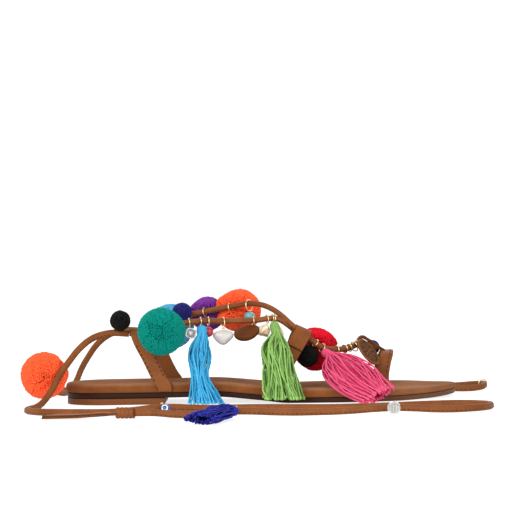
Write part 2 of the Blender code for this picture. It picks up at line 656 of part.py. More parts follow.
def make_sole():
    angle = np.linspace(0, np.pi, SOLE_STATIONS)
    whole = SOLE_LENGTH * (1 - np.cos(angle)) / 2
    whole[-1] = SOLE_LENGTH
    heel = np.append(whole[whole < HEEL_BREAST - 3], HEEL_BREAST)

    edge = [
        (row.inset, lambda at, share=row.share: footbed_under(at) + share * (footbed_top(at) - footbed_under(at)))
        for row in FOOTBED_EDGE
    ]
    footbed = slab("footbed", whole, edge, (LEATHER, 0.45, 0.0))
    leg_half = (TOE_LOOP_WIDTH / 2 + GAP, STRAP_THICK / 2 + GAP)
    slots = [
        box(
            f"slot_{side}",
            (leg.from_heel - leg_half[0], leg.inner - leg_half[1], leg.height - 4),
            (leg.from_heel + leg_half[0], leg.inner + leg_half[1], leg.height + 12),
        )
        for side, leg in (("outer", TOE_LOOP[0]), ("inner", TOE_LOOP[-1]))
    ]
    room = STRAP_THICK
    notches = [
        notch("notch_post_lateral", POST_LATERAL, POST_WIDTH, room),
        notch("notch_post_medial", inner_post(), POST_WIDTH, room),
        notch("notch_midfoot", MIDFOOT_STRAP, MIDFOOT_WIDTH, room),
    ]
    combine(footbed, slots + notches, "DIFFERENCE")

    slab(
        "outsole",
        whole,
        [(OUTSOLE_INSET + 0.4, ground), (OUTSOLE_INSET, lambda at: ground(at) + OUTSOLE_THICK)],
        ((0.035, 0.015, 0.012), 0.5, 0.0),
    )
    slab(
        "heel_lift",
        heel,
        [(OUTSOLE_INSET + 0.3, lambda at: 0 * at), (OUTSOLE_INSET, lambda at: ground(at) - GAP)],
        ((0.20, 0.08, 0.035), 0.5, 0.0),
    )


# Upper
def inner_post():
    """The outer post mirrored to the inner side of the sole, a little further forward."""
    reach = POST_INNER + POST_LATERAL[4].inner
    return [RoutePoint(p.from_heel + POST_SHIFT, reach - p.inner, p.height) for p in POST_LATERAL]


def make_upper():
    leather = (LEATHER, 0.45, 0.0)
    beside_edge = (1, -0.19, 0)  # along the outline where the midfoot strap comes up
    round_lace = round_profile(LACE / 2, LACE_SIDES)
    post = strap_profile(POST_WIDTH, STRAP_THICK)
    wide = strap_profile(MIDFOOT_WIDTH, STRAP_THICK)
    narrow = strap_profile(TOE_LOOP_WIDTH, STRAP_THICK)
    upper = loft("upper", swept(through(LACE_LATERAL, LACE_STEP), round_lace, UP), leather)
    straps = [
        loft("lace_medial", swept(through(LACE_MEDIAL, LACE_STEP), round_lace, UP), leather),
        loft("post_lateral", swept(through(POST_LATERAL, STRAP_STEP), post, ALONG), leather),
        loft("post_medial", swept(through(inner_post(), STRAP_STEP), post, ALONG), leather),
        loft("midfoot_strap", swept(through(MIDFOOT_STRAP, STRAP_STEP), wide, beside_edge), leather),
        loft("toe_loop", swept(through(TOE_LOOP, 4.0), narrow, ALONG), leather),
        loft("toe_tab", swept(through(TOE_TAB, STRAP_STEP), narrow, SIDE), leather),
    ]
    combine(upper, straps, "UNION")


# Ornaments
def make_ring(name, centre, around, radius, pivot=None):
    """Jump ring round a lace."""
    first = square_to(UP, around)
    second = np.cross(around, first)
    circle = round_profile(radius, RING_SIDES)
    path = centre + circle[:, :1] * first + circle[:, 1:] * second
    wire = swept(path, round_profile(RING_WIRE, WIRE_SIDES), around, closed=True)
    return loft(f"ring_{name}", wire, GOLD_LOOK, closed=True, hinge=pivot)


def make_poms():
    """Balls beside what they are strung on; a guide ball a little larger dents a softer neighbour."""
    made = {}
    centres = {}
    for pom in POMS:
        point, along = on_route(pom.holder, pom.place)
        reach = pom.holder.half + GAP + pom.across / 2
        centres[pom.name] = point + reach * square_to(pom.sits, along)
        rows = ball(pom.across / 2, POM_RINGS)
        rings = turned(centres[pom.name], SIDE, rows, POM_SIDES)
        made[pom.name] = loft(f"pom_{pom.name}", rings, (pom.colour, 0.9, 0.0))
    for pom in POMS:
        if pom.pressed_by:
            by = next(other for other in POMS if other.name == pom.pressed_by)
            rows = ball(by.across / 2 + DENT_ROOM, POM_RINGS)
            guide = loft(f"dent_{pom.name}", turned(centres[by.name], SIDE, rows, POM_SIDES), LEATHER_LOOK)
            combine(made[pom.name], [guide], "DIFFERENCE")


def make_tassels():
    for tassel in TASSELS:
        point, along = on_route(tassel.holder, tassel.place)
        make_ring(tassel.name, point, along, RING_RADIUS)
        loft(f"tassel_{tassel.name}", bundled(tassel.rows, tassel.wide_way), (tassel.colour, 0.9, 0.0))


def make_charms():
    """Each charm a gap below its ring; the loose ones and their rings hang on a pivot in the lace's middle."""
    for charm in CHARMS:
        point, along = on_route(charm.holder, charm.place)
        hangs = square_to(charm.hangs, along)
        slack = charm.ring - RING_WIRE - charm.holder.half - GAP
        pivot = hinge_at(charm.name, point) if charm.loose else None
        make_ring(charm.name, point + slack * hangs, along, charm.ring, pivot)
        low = slack + charm.ring + RING_WIRE + GAP
        middle = point + (low + charm.drop) * hangs + charm.shift * along
        shape = turned(middle, charm.axis, charm.shape, CHARM_SIDES, charm.press, charm.flatten)
        loft(f"charm_{charm.name}", shape, charm.look, hinge=pivot)


def make_tie(name, holder):
    """Round lace along its route, with a leather tassel on its end."""
    path = through(holder.route, holder.step)
    curve = bpy.data.curves.new(f"tie_{name}", "CURVE")
    curve.dimensions = "3D"
    curve.bevel_depth = TIE / 2 * MM
    curve.bevel_resolution = 2
    curve.use_fill_caps = True
    line = curve.splines.new("POLY")
    line.points.add(len(path) - 1)
    for spot, place in zip(line.points, world(path)):
        spot.co = (*place, 1.0)
    curve.materials.append(finish(*LEATHER_LOOK, f"tie_{name}"))
    bpy.context.collection.objects.link(bpy.data.objects.new(f"tie_{name}", curve))

    way = path[-1] - path[-2]
    way = unit((way[0], way[1], 0))
    ends = [path[-1] + (GAP + row.along) * way for row in LEATHER_TASSEL]
    rows = [Bundle(end[0], end[1], row.thick / 2 + 0.2, row.wide, row.thick) for end, row in zip(ends, LEATHER_TASSEL)]
    loft(f"tie_tassel_{name}", bundled(rows, np.cross(UP, way)), LEATHER_LOOK)


make_sole()
make_upper()
make_poms()
make_tassels()
make_charms()
make_tie("lateral", OUTER_TIE)
make_tie("medial", INNER_TIE)
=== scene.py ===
"""Looks of the pom pom sandal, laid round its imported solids: leather, yarn, beads, rings and the two ties.

Tables are in millimetres from the back of the heel, +X to the toe and +Y to the inner side of the foot, as
the solids were drawn. `place` turns them into metres in the shared frame.
"""

from collections import namedtuple

import bmesh
import bpy
import numpy as np
from mathutils import Matrix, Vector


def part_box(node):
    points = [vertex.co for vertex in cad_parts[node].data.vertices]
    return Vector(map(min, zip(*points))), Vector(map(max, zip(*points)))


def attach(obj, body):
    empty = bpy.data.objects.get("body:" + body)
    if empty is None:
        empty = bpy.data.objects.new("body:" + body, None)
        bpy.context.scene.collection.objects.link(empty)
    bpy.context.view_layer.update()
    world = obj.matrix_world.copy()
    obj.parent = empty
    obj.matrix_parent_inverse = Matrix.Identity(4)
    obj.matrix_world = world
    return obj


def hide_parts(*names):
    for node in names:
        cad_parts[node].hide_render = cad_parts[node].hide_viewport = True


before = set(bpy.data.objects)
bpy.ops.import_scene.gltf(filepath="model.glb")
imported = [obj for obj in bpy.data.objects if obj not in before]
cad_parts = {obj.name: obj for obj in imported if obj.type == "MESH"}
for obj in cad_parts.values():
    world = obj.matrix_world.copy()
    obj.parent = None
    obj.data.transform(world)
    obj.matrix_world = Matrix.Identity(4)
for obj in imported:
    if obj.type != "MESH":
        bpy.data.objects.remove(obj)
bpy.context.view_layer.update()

MM = 0.001
SHOE = "shoe"
ALONG, SIDE, UP = np.eye(3)
DOWN = -UP
GAP = 0.3  # between pieces that stay apart
GOLDEN_TURN = np.pi * (3 - np.sqrt(5))  # from one point of an even spiral to the next
FINE = 40  # steps of a smooth curve from one drawn point to the next

# Sole: lengths are from the back of the heel
HEEL_SEAT = 30.0  # where the origin is
SOLE_LENGTH = 250.0
SOLE_STEPS = 121
HEEL_ROUND = 29.0  # length of the quarter oval that rounds the heel
TOE_ROUND = 45.0
HEEL_BREAST = 65.0
OUTSOLE_THICK = 3.0
OUTSOLE_INSET = 0.9
SQUARE_EDGE = ((0.6, 0.0), (0.15, 0.06), (0.0, 0.2), (0.0, 0.6), (0.1, 1.0))  # inset, share of the thickness
SHARP_EDGE = 40.0  # degrees
ROUND_UNDER = 1.5  # insets of the footbed's round edge
ROUND_TOP = 2.3
FOOTBED_DISH = 0.7
CLOSING = (0.06, 0.16, 0.3, 0.5, 0.75, 1.0)  # rings from the edge to the spine, as shares of the way
TOE_THINNED = 1.5  # taken off the footbed's top at the tip of the toe
THINNED_FROM = (212.0, 252.0)
PAINTED_HIGHLIGHT = 0.5  # painted highlight: how pale the footbed's upper edge and top are
HIGHLIGHT_FROM = (0.55, 0.95)  # from the underside, as shares of its thickness
HIGHLIGHT_TOE = 0.25  # how much stronger the painted highlight is at the tip of the toe
OUTSOLE_TOE_PALE = 0.6  # how pale the outsole's edge is at the tip of the toe
PALER_TOE_FROM = (150.0, 235.0)

# Straps, laces and rings
STRAP_THICK = 2.0
POST_WIDTH = 9.0
POST_SEWN = slice(14, 44)  # the points of a post between its ends
POST_SHIFT = 5.0  # the inner post stands this much further forward
POST_MIRROR = -3.7  # twice the middle between the two posts
MIDFOOT_WIDTH = 10.5
MIDFOOT_WAY = np.array((1, -0.19, 0))  # how the midfoot strap's width lies
FLAP_LOW = 32.3  # where the midfoot strap's turned over end stops, above the floor
FLAP_THICK = 1.1
FLAP_PROUD = 0.5  # how much wider it is than the strap under it
FOLD_LEAN = 0.09  # how the fold's width turns to the inner side
FOLD_SLOPE = 0.46  # how it falls to the front, as the lace in it does
FOLD_RISE = (12.0, 30.0)  # heights between which the strap turns to that slope
TOE_LOOP_WIDTH = 8.4
TOE_LOOP_AHEAD = 0.5  # further to the front than its drawn line
TOE_SEWN = slice(9, -9)
TOE_TAB_WIDTH = 6.8
LACE = 3.4
TIE = 4.0
TIE_STEP = 11.5  # between the drawn points of a tie
SEAM_DEEP = 0.90  # where a lace's seam lies, as a share of its radius
SEAM_OFF = -0.9  # how far its stitches are from the middle
THREAD_WIRE = 0.16  # half the thickness of a lace's thread
STITCH_DIP = 0.3 * np.array([1.0, 0.15, 0.0, 0.15, 1.0])  # how deep a stitch is along its length
RING_RADIUS = 2.7
SMALL_RING = 2.4
RING_WIRE = 0.42  # half the room that a ring's wire takes
WIRE = 0.36  # half its drawn thickness
RING_CUT = 0.04  # half the gap between its ends, as an angle
PLY = 0.17  # how far a cord's two plies stand out, as a share of its radius

# Sole: from the heel, middle line, half width, underside of the outsole, thickness of the footbed
SOLE = np.array(
    [
        (0, 0.0, 29.0, 4.2, 6.2),
        (30, -0.3, 29.0, 4.2, 6.2),
        (66, -1.8, 29.3, 4.2, 6.2),
        (92, -4.2, 29.6, 4.5, 6.2),
        (124, -4.6, 33.0, 1.9, 6.2),
        (142, -4.0, 36.6, 0.0, 6.2),
        (180, -0.5, 43.5, 0.0, 6.0),
        (205, 2.5, 42.5, 0.0, 5.5),
        (230, 7.0, 39.0, 0.6, 5.0),
        (250, 11.0, 36.0, 2.0, 4.8),
    ]
)
MIDDLE, HALF_WIDTH, UNDERSIDE, FOOTBED = 1, 2, 3, 4

# Routes of the laces and straps: from the heel, to the inner side, height
LACE_LATERAL = [
    (42.6, -29.4, 44.8), (52, -29.5, 45.0), (64, -29.2, 46.4), (78, -28.2, 50.8), (88, -26.8, 51.7),
    (102, -23.5, 51.4), (120, -18.5, 51.2), (136.8, -13.2, 51.4), (144, -11.2, 46.4), (149.7, -10.1, 41.0),
    (154.8, -8.6, 37.2), (163.7, -1.6, 32.8), (172.8, 5.5, 31.1), (181.4, 11.8, 31.8), (186, 15.0, 33.4),
    (189.2, 16.0, 35.0), (190.4, 14.2, 35.6),
]
LACE_MEDIAL = [
    (47.6, 25.8, 44.8), (57, 26.0, 45.2), (66, 25.4, 48.7), (74, 24.2, 53.0), (88, 20.0, 56.3),
    (105, 11.5, 59.4), (121.6, 0.8, 61.5), (130.6, -6.2, 59.0), (137.2, -10.6, 54.8), (144.8, -12.8, 47.8),
    (151.3, -12.9, 42.5), (156.4, -12.6, 38.4), (163.7, -8.5, 33.0), (172.8, -1.3, 31.2),
    (181.4, 5.0, 31.9), (185.6, 8.4, 33.4), (189.0, 11.8, 35.0), (190.4, 14.2, 35.6),
]
POST_LATERAL = [
    (64.5, -23.5, 8.6), (64.5, -29.6, 8.6), (64.4, -32.1, 9.4), (64.2, -32.8, 11.6), (62.2, -32.7, 14.6),
    (55.0, -32.4, 29.2), (48.6, -32.2, 42.7), (47.6, -31.2, 46.4), (47.4, -29.2, 47.5), (47.6, -27.2, 46.2),
    (48.3, -26.9, 43.6), (50.0, -29.0, 39.2), (52.5, -30.6, 34.2), (54.5, -30.6, 30.2),
]
MIDFOOT_STRAP = [
    (129.5, -31.0, 5.4), (129.5, -36.8, 5.4), (129.6, -39.7, 6.3), (129.9, -40.4, 8.6),
    (131.6, -39.9, 11.8), (137.0, -33.6, 19.8), (143.5, -24.8, 29.7), (148.6, -18.2, 37.8),
    (151.4, -15.2, 42.2), (151.7, -12.4, 44.0), (150.4, -8.6, 42.9), (148.3, -7.4, 39.4),
    (147.2, -9.8, 36.6), (144.8, -17.6, 31.8), (141.6, -23.6, 26.8),
]
TOE_LOOP = [
    (202.0, 7.5, 4.0), (202.0, 7.5, 9.0), (202.2, 7.5, 14.4), (203.4, 8.6, 21.2), (205.2, 13.4, 26.8),
    (205.9, 22.0, 28.8), (205.2, 30.6, 26.8), (203.4, 35.4, 21.2), (202.2, 36.5, 14.4), (202.0, 36.5, 9.0),
    (202.0, 36.5, 4.0),
]
TOE_TAB = [
    (205.4, 22.0, 28.7), (199.0, 18.8, 32.9), (193.6, 15.9, 36.9), (190.2, 14.1, 38.4), (187.6, 12.6, 36.2),
    (188.6, 13.2, 33.5), (192.0, 15.0, 33.6), (195.6, 17.0, 33.2), (199.0, 18.8, 31.0),
]

# Ties: a fall from the heel post, then places on the floor
ON_FLOOR = TIE / 2 + GAP
ON_RING = 3.9  # lifted by a ring
IN_CAP = 3.5  # at a leather tassel's cap
EYE_AT, CRYSTAL_AT, NAVY_AT = (66, -119, ON_RING), (200, -160, ON_RING), (110, -165, ON_RING)
GOLD_AT, TURQUOISE_AT = (-17, 91, ON_RING), (273, 66, ON_RING)


def laid(*places):
    """Places on the floor, at the height of a tie's middle line where they don't give their own."""
    return [(*spot, ON_FLOOR)[:3] for spot in places]


TIE_LATERAL = [
    (42.3, -29.4, 44.8), (33, -30.5, 45.5), (24, -33, 44.2), (15, -37.5, 39.2), (7, -43.5, 30.2),
    (0.5, -50, 21.0), (-5, -57, 10.5), (-9.5, -65, 4.4),
] + laid(
    (-13, -76), (-16, -95), (-8, -114), (14, -126), (40, -128), EYE_AT, (92, -110), (120, -111), (146, -119),
    (172, -124), (198, -119), (222, -110), (244, -108), (258, -121), (254, -142), (230, -156), CRYSTAL_AT,
    (170, -156), (140, -158), NAVY_AT, (80, -164), (63, -159.6, IN_CAP), (52, -157, IN_CAP),
)
TIE_MEDIAL = [
    (47.3, 25.8, 44.8), (38, 26.5, 45.4), (29, 29.5, 43.7), (20, 34.5, 38.2), (12.5, 41, 29.2),
    (6.5, 48.5, 20.0), (1.5, 56.5, 10.0), (-3, 65, 4.4),
] + laid(
    (-8, 75), GOLD_AT, (-14, 108), (4, 115), (30, 111), (54, 100), (78, 92), (104, 92), (130, 100),
    (156, 108), (182, 109), (208, 102), (232, 92), (256, 82), TURQUOISE_AT, (268, 50), (248, 49), (226, 58),
    (202, 66), (176, 68), (150, 63), (124, 57), (98, 58), (83, 61.4, IN_CAP), (72, 64, IN_CAP),
)

# Yarn bundles from the cap to the ends: from the heel, to the inner side, height, width, thickness
BLUE_YARN = [
    (87.9, -30.4, 48.8, 6.6, 6.6), (88.2, -33.0, 43.7, 8.0, 8.0), (86.2, -37.0, 30.6, 15.0, 10.0),
    (86.6, -41.5, 16.8, 11.0, 9.0), (89.0, -44.4, 7.0, 18.5, 11.0), (90.0, -45.2, 3.4, 21.7, 12.0),
]
GREEN_YARN = [
    (133.2, -17.0, 49.6, 6.4, 6.4), (134.6, -22.8, 43.7, 7.8, 7.8), (133.8, -34.5, 31.9, 19.0, 11.0),
    (135.6, -46.0, 19.2, 20.0, 10.0), (137.8, -53.0, 7.8, 24.0, 9.0), (138.6, -55.5, 4.0, 25.5, 9.0),
]
PINK_YARN = [
    (164.4, -11.0, 30.6, 6.0, 6.0), (168.0, -16.5, 28.4, 7.4, 7.4), (173.0, -26.0, 24.2, 22.0, 10.0),
    (179.4, -40.0, 18.6, 30.5, 9.0), (188.4, -54.0, 10.6, 28.0, 8.0), (197.0, -65.5, 4.6, 22.0, 7.0),
]
NAVY_YARN = [
    (109.4, -168.0, 4.4, 6.0, 6.0), (107.0, -175.0, 4.4, 7.8, 7.8), (103.0, -186.0, 5.0, 14.0, 9.0),
    (97.0, -202.0, 4.4, 15.0, 8.0), (90.5, -219.0, 3.6, 20.0, 6.8),
]
PINK_WAY = (0.93, 0.24, 0.28)  # how the pink bundle's width lies

# Turned shapes: place on the axis and radius
RED_BEAD = [(-3.2, 0.5), (-2.9, 1.4), (-2.1, 2.5), (0.0, 3.25), (2.1, 2.5), (2.9, 1.4), (3.2, 0.5)]
CONE_SHELL = [(-6.5, 0.4), (-2.5, 2.3), (2.5, 3.6), (4.6, 3.9), (5.6, 2.6), (6.2, 1.3), (6.7, 0.3)]
COWRIE = [(-4.9, 0.3), (-4.5, 1.3), (-3.2, 2.5), (0.0, 3.25), (3.2, 2.7), (4.5, 1.4), (4.9, 0.3)]
STONE_BEAD = [(-2.7, 0.4), (-2.5, 1.4), (-1.5, 2.9), (0.0, 3.5), (1.5, 2.9), (2.5, 1.4), (2.7, 0.4)]
FLAT_STONE = [(-1.5, 0.3), (-1.45, 2.6), (-0.8, 4.0), (0.0, 4.25), (0.8, 4.0), (1.45, 2.6), (1.5, 0.3)]
SETTING = [
    (-1.2, 0.3), (-1.2, 2.3), (-0.8, 2.9), (0.2, 3.15), (0.9, 3.1), (1.2, 2.85), (0.9, 2.5), (0.2, 2.3),
    (0.2, 0.3),
]
CUT = [(0.2, 1.7), (0.7, 1.75), (1.4, 1.2), (1.8, 0.6), (1.85, 0.05)]
LEATHER_DISC = [
    (-0.7, 0.4), (-0.75, 4.0), (-0.85, 7.4), (-0.6, 8.1), (0.0, 8.25), (0.6, 8.1), (0.85, 7.4), (0.75, 4.0),
    (0.7, 0.4),
]
GOLD_DISC = [
    (-0.5, 0.3), (-0.5, 5.3), (-0.6, 5.8), (0.0, 6.0), (0.6, 5.8), (0.45, 5.3), (0.3, 5.0), (0.3, 0.3),
]


# Curves
def place(points):
    """Millimetres from the heel's back, as metres in the shared frame."""
    return (np.asarray(points, float) - (HEEL_SEAT, 0, 0)) * MM


def from_heel(points):
    """Metres in the shared frame, as millimetres from the heel's back."""
    return np.asarray(points, float) / MM + (HEEL_SEAT, 0, 0)


def unit(vectors):
    """Vectors divided by their lengths."""
    vectors = np.asarray(vectors, float)
    return vectors / np.linalg.norm(vectors, axis=-1, keepdims=True)


def square_to(vectors, directions):
    """Unit vectors of what is left of vectors when their share along directions is taken away."""
    vectors = np.asarray(vectors, float)
    return unit(vectors - (vectors * directions).sum(axis=-1, keepdims=True) * directions)


def soft_step(low, high, at):
    """Rises from 0 at low to 1 at high on a cubic."""
    t = np.clip((at - low) / (high - low), 0, 1)
    return t * t * (3 - 2 * t)


def bell(at, middle, width):
    """Rises to 1 at the middle and falls off on either side on a normal curve."""
    return np.exp(-(((at - middle) / width) ** 2))


def hermite(x, y, slope, at):
    """Cubic through points x, y with given slopes."""
    i = np.clip(np.searchsorted(x, at, side="right") - 1, 0, len(x) - 2)
    size = x[i + 1] - x[i]
    t = (at - x[i]) / size
    if y.ndim > 1:
        t, size = t[:, None], size[:, None]
    return (
        y[i] * (1 + 2 * t) * (1 - t) ** 2
        + y[i + 1] * t**2 * (3 - 2 * t)
        + size * (slope[i] * t * (1 - t) ** 2 - slope[i + 1] * t**2 * (1 - t))
    )


def sole_value(column, at):
    """A column of the sole's table on a monotone cubic, with harmonic means of neighbouring slopes."""
    x, y = SOLE[:, 0], SOLE[:, column]
    slope = np.diff(y) / np.diff(x)
    product = slope[:-1] * slope[1:]
    total = np.where(product > 0, slope[:-1] + slope[1:], 1.0)
    inner = np.where(product > 0, 2 * product / total, 0.0)
    return hermite(x, y, np.concatenate([slope[:1], inner, slope[-1:]]), np.clip(at, 0, SOLE_LENGTH))


def run_of(path):
    """Distance along a path at each of its points."""
    return np.concatenate([[0], np.cumsum(np.linalg.norm(np.diff(path[:, :3], axis=0), axis=1))])


def read_at(at, run, table):
    """A table's columns at given distances along it."""
    return np.stack([np.interp(at, run, column) for column in table.T], axis=-1)


def through(points, step):
    """Evenly spaced points, about a step apart, on a smooth curve through rows of any width."""
    knots = np.array(points, float)
    reach = run_of(knots)
    slope = np.gradient(knots, reach, axis=0)
    fine = hermite(reach, knots, slope, np.linspace(0, reach[-1], FINE * len(knots)))
    run = run_of(fine)
    return read_at(np.linspace(0, run[-1], max(2, round(run[-1] / step) + 1)), run, fine)


def across_and_out(paths, side):
    """Unit vectors square to a path, or many, at each place.

    The first is as near to the side vector as it can be, and the second is the tangent crossed with that.
    """
    tangent = unit(np.gradient(paths, axis=-2))
    across = square_to(np.broadcast_to(side, paths.shape), tangent)
    return across, np.cross(tangent, across)


# Surfaces
Shape = namedtuple("Shape", "points faces tone")


def skin(rings, capped=True, tone=0.5):
    """Quads over rings of points, for one tube (rings, sides, 3) or many (tubes, rings, sides, 3).

    Ends are closed by strips of quads. Tone is a number per point for the material, in any form that spreads
    over (tubes, rings, sides).
    """
    rings = np.asarray(rings, float)
    rings = rings if rings.ndim == 4 else rings[None]
    tubes, count, sides = rings.shape[:3]
    here = np.arange(count - 1)[:, None] * sides
    ahead = here + sides
    left = np.arange(sides)[None]
    right = (left + 1) % sides
    quads = [np.stack([here + left, here + right, ahead + right, ahead + left], -1).reshape(-1, 4)]
    if capped:
        k = np.arange(sides // 2 - 1)
        strip = np.stack([k, k + 1, sides - 2 - k, sides - 1 - k], -1)
        quads += [strip[:, ::-1], strip + (count - 1) * sides]
    faces = np.concatenate(quads)[None] + (np.arange(tubes) * count * sides)[:, None, None]
    tone = np.broadcast_to(np.asarray(tone, float), (tubes, count, sides))
    return Shape(rings.reshape(-1, 3), faces.reshape(-1, 4), tone.reshape(-1))


def joined(*shapes):
    """Several surfaces in one mesh."""
    starts = np.cumsum([0] + [len(shape.points) for shape in shapes[:-1]])
    return Shape(
        np.concatenate([shape.points for shape in shapes]),
        np.concatenate([shape.faces + start for shape, start in zip(shapes, starts)]),
        np.concatenate([shape.tone for shape in shapes]),
    )


def angles(sides):
    """Equal angles round a circle."""
    return 2 * np.pi * np.arange(sides) / sides


def circle(sides):
    """Points at equal angles on a circle of radius 1."""
    return np.column_stack([np.cos(angles(sides)), np.sin(angles(sides))])


def carried(path, profile, side):
    """A profile (points, 2), or one for each place (places, points, 2), carried along a path.

    Its first axis stays as near to the side vector as it can.
    """
    across, out = across_and_out(path, side)
    profile = np.broadcast_to(profile, (len(path),) + np.shape(profile)[-2:])
    return path[:, None] + profile[..., :1] * across[:, None] + profile[..., 1:] * out[:, None]


def tubes(paths, radius, sides):
    """Tubes along many paths (tubes, places, 3).

    Radius is a number, or one per tube and place, or one per side too.
    """
    least = np.argmin(np.abs(paths[:, -1] - paths[:, 0]), axis=1)
    across, out = across_and_out(paths, np.eye(3)[least][:, None])
    ring = circle(sides)
    radius = radius if np.ndim(radius) == 3 else np.broadcast_to(radius, paths.shape[:2])[..., None]
    spread = ring[:, :1] * across[:, :, None] + ring[:, 1:] * out[:, :, None]
    return paths[:, :, None] + radius[..., None] * spread


def turned(centre, axis, rows, sides, press=ALONG, flatten=1.0, around=1.0, lift=0.0):
    """Circles of given radius at given distances along an axis, pressed flat one way.

    Around multiplies the radius and lift adds to the distance, by angle or by row and angle.
    """
    axis = unit(axis)
    first = square_to(press, axis)
    second = np.cross(axis, first)
    ring = circle(sides)
    rows = np.asarray(rows, float)
    spread = flatten * ring[:, :1] * first + ring[:, 1:] * second
    along = rows[:, :1] + np.broadcast_to(lift, (len(rows), sides))
    radius = rows[:, 1:] * np.broadcast_to(around, (len(rows), sides))
    return centre + along[..., None] * axis + radius[..., None] * spread


def facetted(centre, axis, rows, sides, other):
    """Turned rows, every other one turned on by half a facet, towards the other vector."""
    made = turned(centre, axis, rows, sides)
    made[1::2] = turned(centre, axis, rows, sides, ALONG + np.tan(np.pi / sides) * other)[1::2]
    return skin(made)


def lathe_rows(rows, count):
    """A turned profile's rows of distance and radius, rounded by a smooth curve."""
    flat = np.column_stack([rows, np.zeros(len(rows))])
    return through(flat, run_of(flat)[-1] / count)[:, :2]


def ball_rows(radius, count):
    """Rows of distance and radius at equal angles over a ball, without its poles."""
    angle = np.linspace(0, np.pi, count + 2)[1:-1]
    return np.column_stack([-radius * np.cos(angle), radius * np.sin(angle)])


def waves(points, seed, size, count=6):
    """Soft noise about -1 to 1: a mean of sine waves of random direction, whose length is about a size."""
    draw = np.random.default_rng(seed)
    way = unit(draw.normal(size=(count, 3))) * draw.uniform(0.6, 1.5, (count, 1)) * 2 * np.pi / size
    phase = draw.uniform(0, 2 * np.pi, count)
    return np.sin(points @ way.T + phase).mean(axis=-1) * np.sqrt(count) / 1.5


# Pieces
def piece(name, shape, finish, body=SHOE, stands_for=(), sharp=None, merge=False):
    """A mesh object in the shared frame that rides on a body, from points in millimetres."""
    mesh = bpy.data.meshes.new(name)
    mesh.from_pydata(place(shape.points).tolist(), [], shape.faces.tolist())
    mesh.attributes.new("tone", "FLOAT", "POINT").data.foreach_set("value", shape.tone.astype(np.float32))
    if merge:
        work = bmesh.new()
        work.from_mesh(mesh)
        bmesh.ops.remove_doubles(work, verts=work.verts, dist=1e-6)
        bmesh.ops.recalc_face_normals(work, faces=work.faces)
        work.to_mesh(mesh)
        work.free()
    mesh.shade_smooth()
    if sharp is not None:
        mesh.set_sharp_from_angle(angle=np.radians(sharp))
    mesh.materials.append(finish.material)
    made = bpy.data.objects.new(name, mesh)
    bpy.context.collection.objects.link(made)
    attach(made, body)
    if stands_for:
        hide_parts(*stands_for)
    return made


def middle_of(node):
    """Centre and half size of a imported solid's box, in millimetres from the heel's back."""
    low, high = (from_heel(corner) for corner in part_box(node))
    return (low + high) / 2, (high - low) / 2


# Shader maths
class Value:
    """A socket that Python arithmetic works on: each operator adds a Math node."""

    def __init__(self, finish, socket):
        self.finish = finish
        self.socket = socket

    def math(self, operation, *values):
        return self.finish.node("ShaderNodeMath", {"operation": operation}, dict(enumerate(values)))

    def __add__(self, other):
        return self.math("ADD", self, other)

    __radd__ = __add__

    def __mul__(self, other):
        return self.math("MULTIPLY", self, other)

    __rmul__ = __mul__

    def __sub__(self, other):
        return self.math("SUBTRACT", self, other)

    def __rsub__(self, other):
        return self.math("SUBTRACT", other, self)


class Finish:
    """A material: a Principled shader with even values on its sockets, and one method for other nodes."""

    def __init__(self, name, **even):
        self.material = bpy.data.materials.new(name)
        self.material.use_nodes = True
        self.tree = self.material.node_tree
        self.shader = self.tree.nodes["Principled BSDF"]
        for socket, value in even.items():
            self.shader.inputs[socket.replace("_", " ").title().replace("Ior", "IOR")].default_value = value

    def node(self, kind, settings, inputs, output=0):
        """Adds a node, sets its properties (a ramp's stops too), then sets or links its inputs."""
        made = self.tree.nodes.new(kind)
        for key, value in settings.items():
            if key == "stops":
                self.set_stops(made.color_ramp, value)
            else:
                setattr(made, key, value)
        for key, value in inputs.items():
            self.put(made.inputs[key], value)
        return Value(self, made.outputs[output])

    def put(self, socket, value):
        if isinstance(value, Value):
            self.tree.links.new(value.socket, socket)
        else:
            socket.default_value = value

    def set_stops(self, ramp, stops):
        while len(ramp.elements) < len(stops):
            ramp.elements.new(1.0)
        for element, (at, colour) in zip(ramp.elements, stops):
            element.position = at
            element.color = (*colour, 1.0)

    def spot(self):
        return self.node("ShaderNodeTexCoord", {}, {}, "Object")

    def tone(self):
        return self.node("ShaderNodeAttribute", {"attribute_name": "tone"}, {}, "Fac")

    def noise(self, scale, detail=3.0, roughness=0.55, stretch=None):
        at = self.spot()
        if stretch is not None:
            at = self.node("ShaderNodeMapping", {}, {"Vector": at, "Scale": stretch})
        sizes = {"Vector": at, "Scale": scale, "Detail": detail, "Roughness": roughness}
        return self.node("ShaderNodeTexNoise", {}, sizes)

    def cells(self, scale, feature="F1"):
        settings = {"feature": feature}
        return self.node("ShaderNodeTexVoronoi", settings, {"Vector": self.spot(), "Scale": scale})

    def spread(self, value, low, high):
        """A value brought from between low and high to between 0 and 1."""
        return self.node("ShaderNodeMapRange", {}, {0: value, 1: low, 2: high})

    def ramp(self, value, stops, interpolation="LINEAR"):
        made = self.node("ShaderNodeValToRGB", {"stops": stops}, {0: value})
        made.socket.node.color_ramp.interpolation = interpolation
        return made

    def mix(self, share, one, other):
        """Colour between two colours, by a share."""
        colours = [c if isinstance(c, Value) else (*c, 1.0) for c in (one, other)]
        return self.node("ShaderNodeMix", {"data_type": "RGBA"}, {0: share, 6: colours[0], 7: colours[1]}, 2)

    def bump(self, height, distance, strength=1.0):
        sizes = {"Height": height, "Distance": distance, "Strength": strength}
        self.wear(Normal=self.node("ShaderNodeBump", {}, sizes))

    def wear(self, **links):
        """Feeds the shader's sockets."""
        for socket, value in links.items():
            self.put(self.shader.inputs[socket.replace("_", " ")], value)


# Finishes
# pale colour that the outsole's edge takes towards the toe
PALE_SOLE_EDGE = (0.17, 0.074, 0.038)
# pale colour of the painted highlight on the footbed's upper edge and top
HIGHLIGHT_LEATHER = (0.42, 0.22, 0.125)


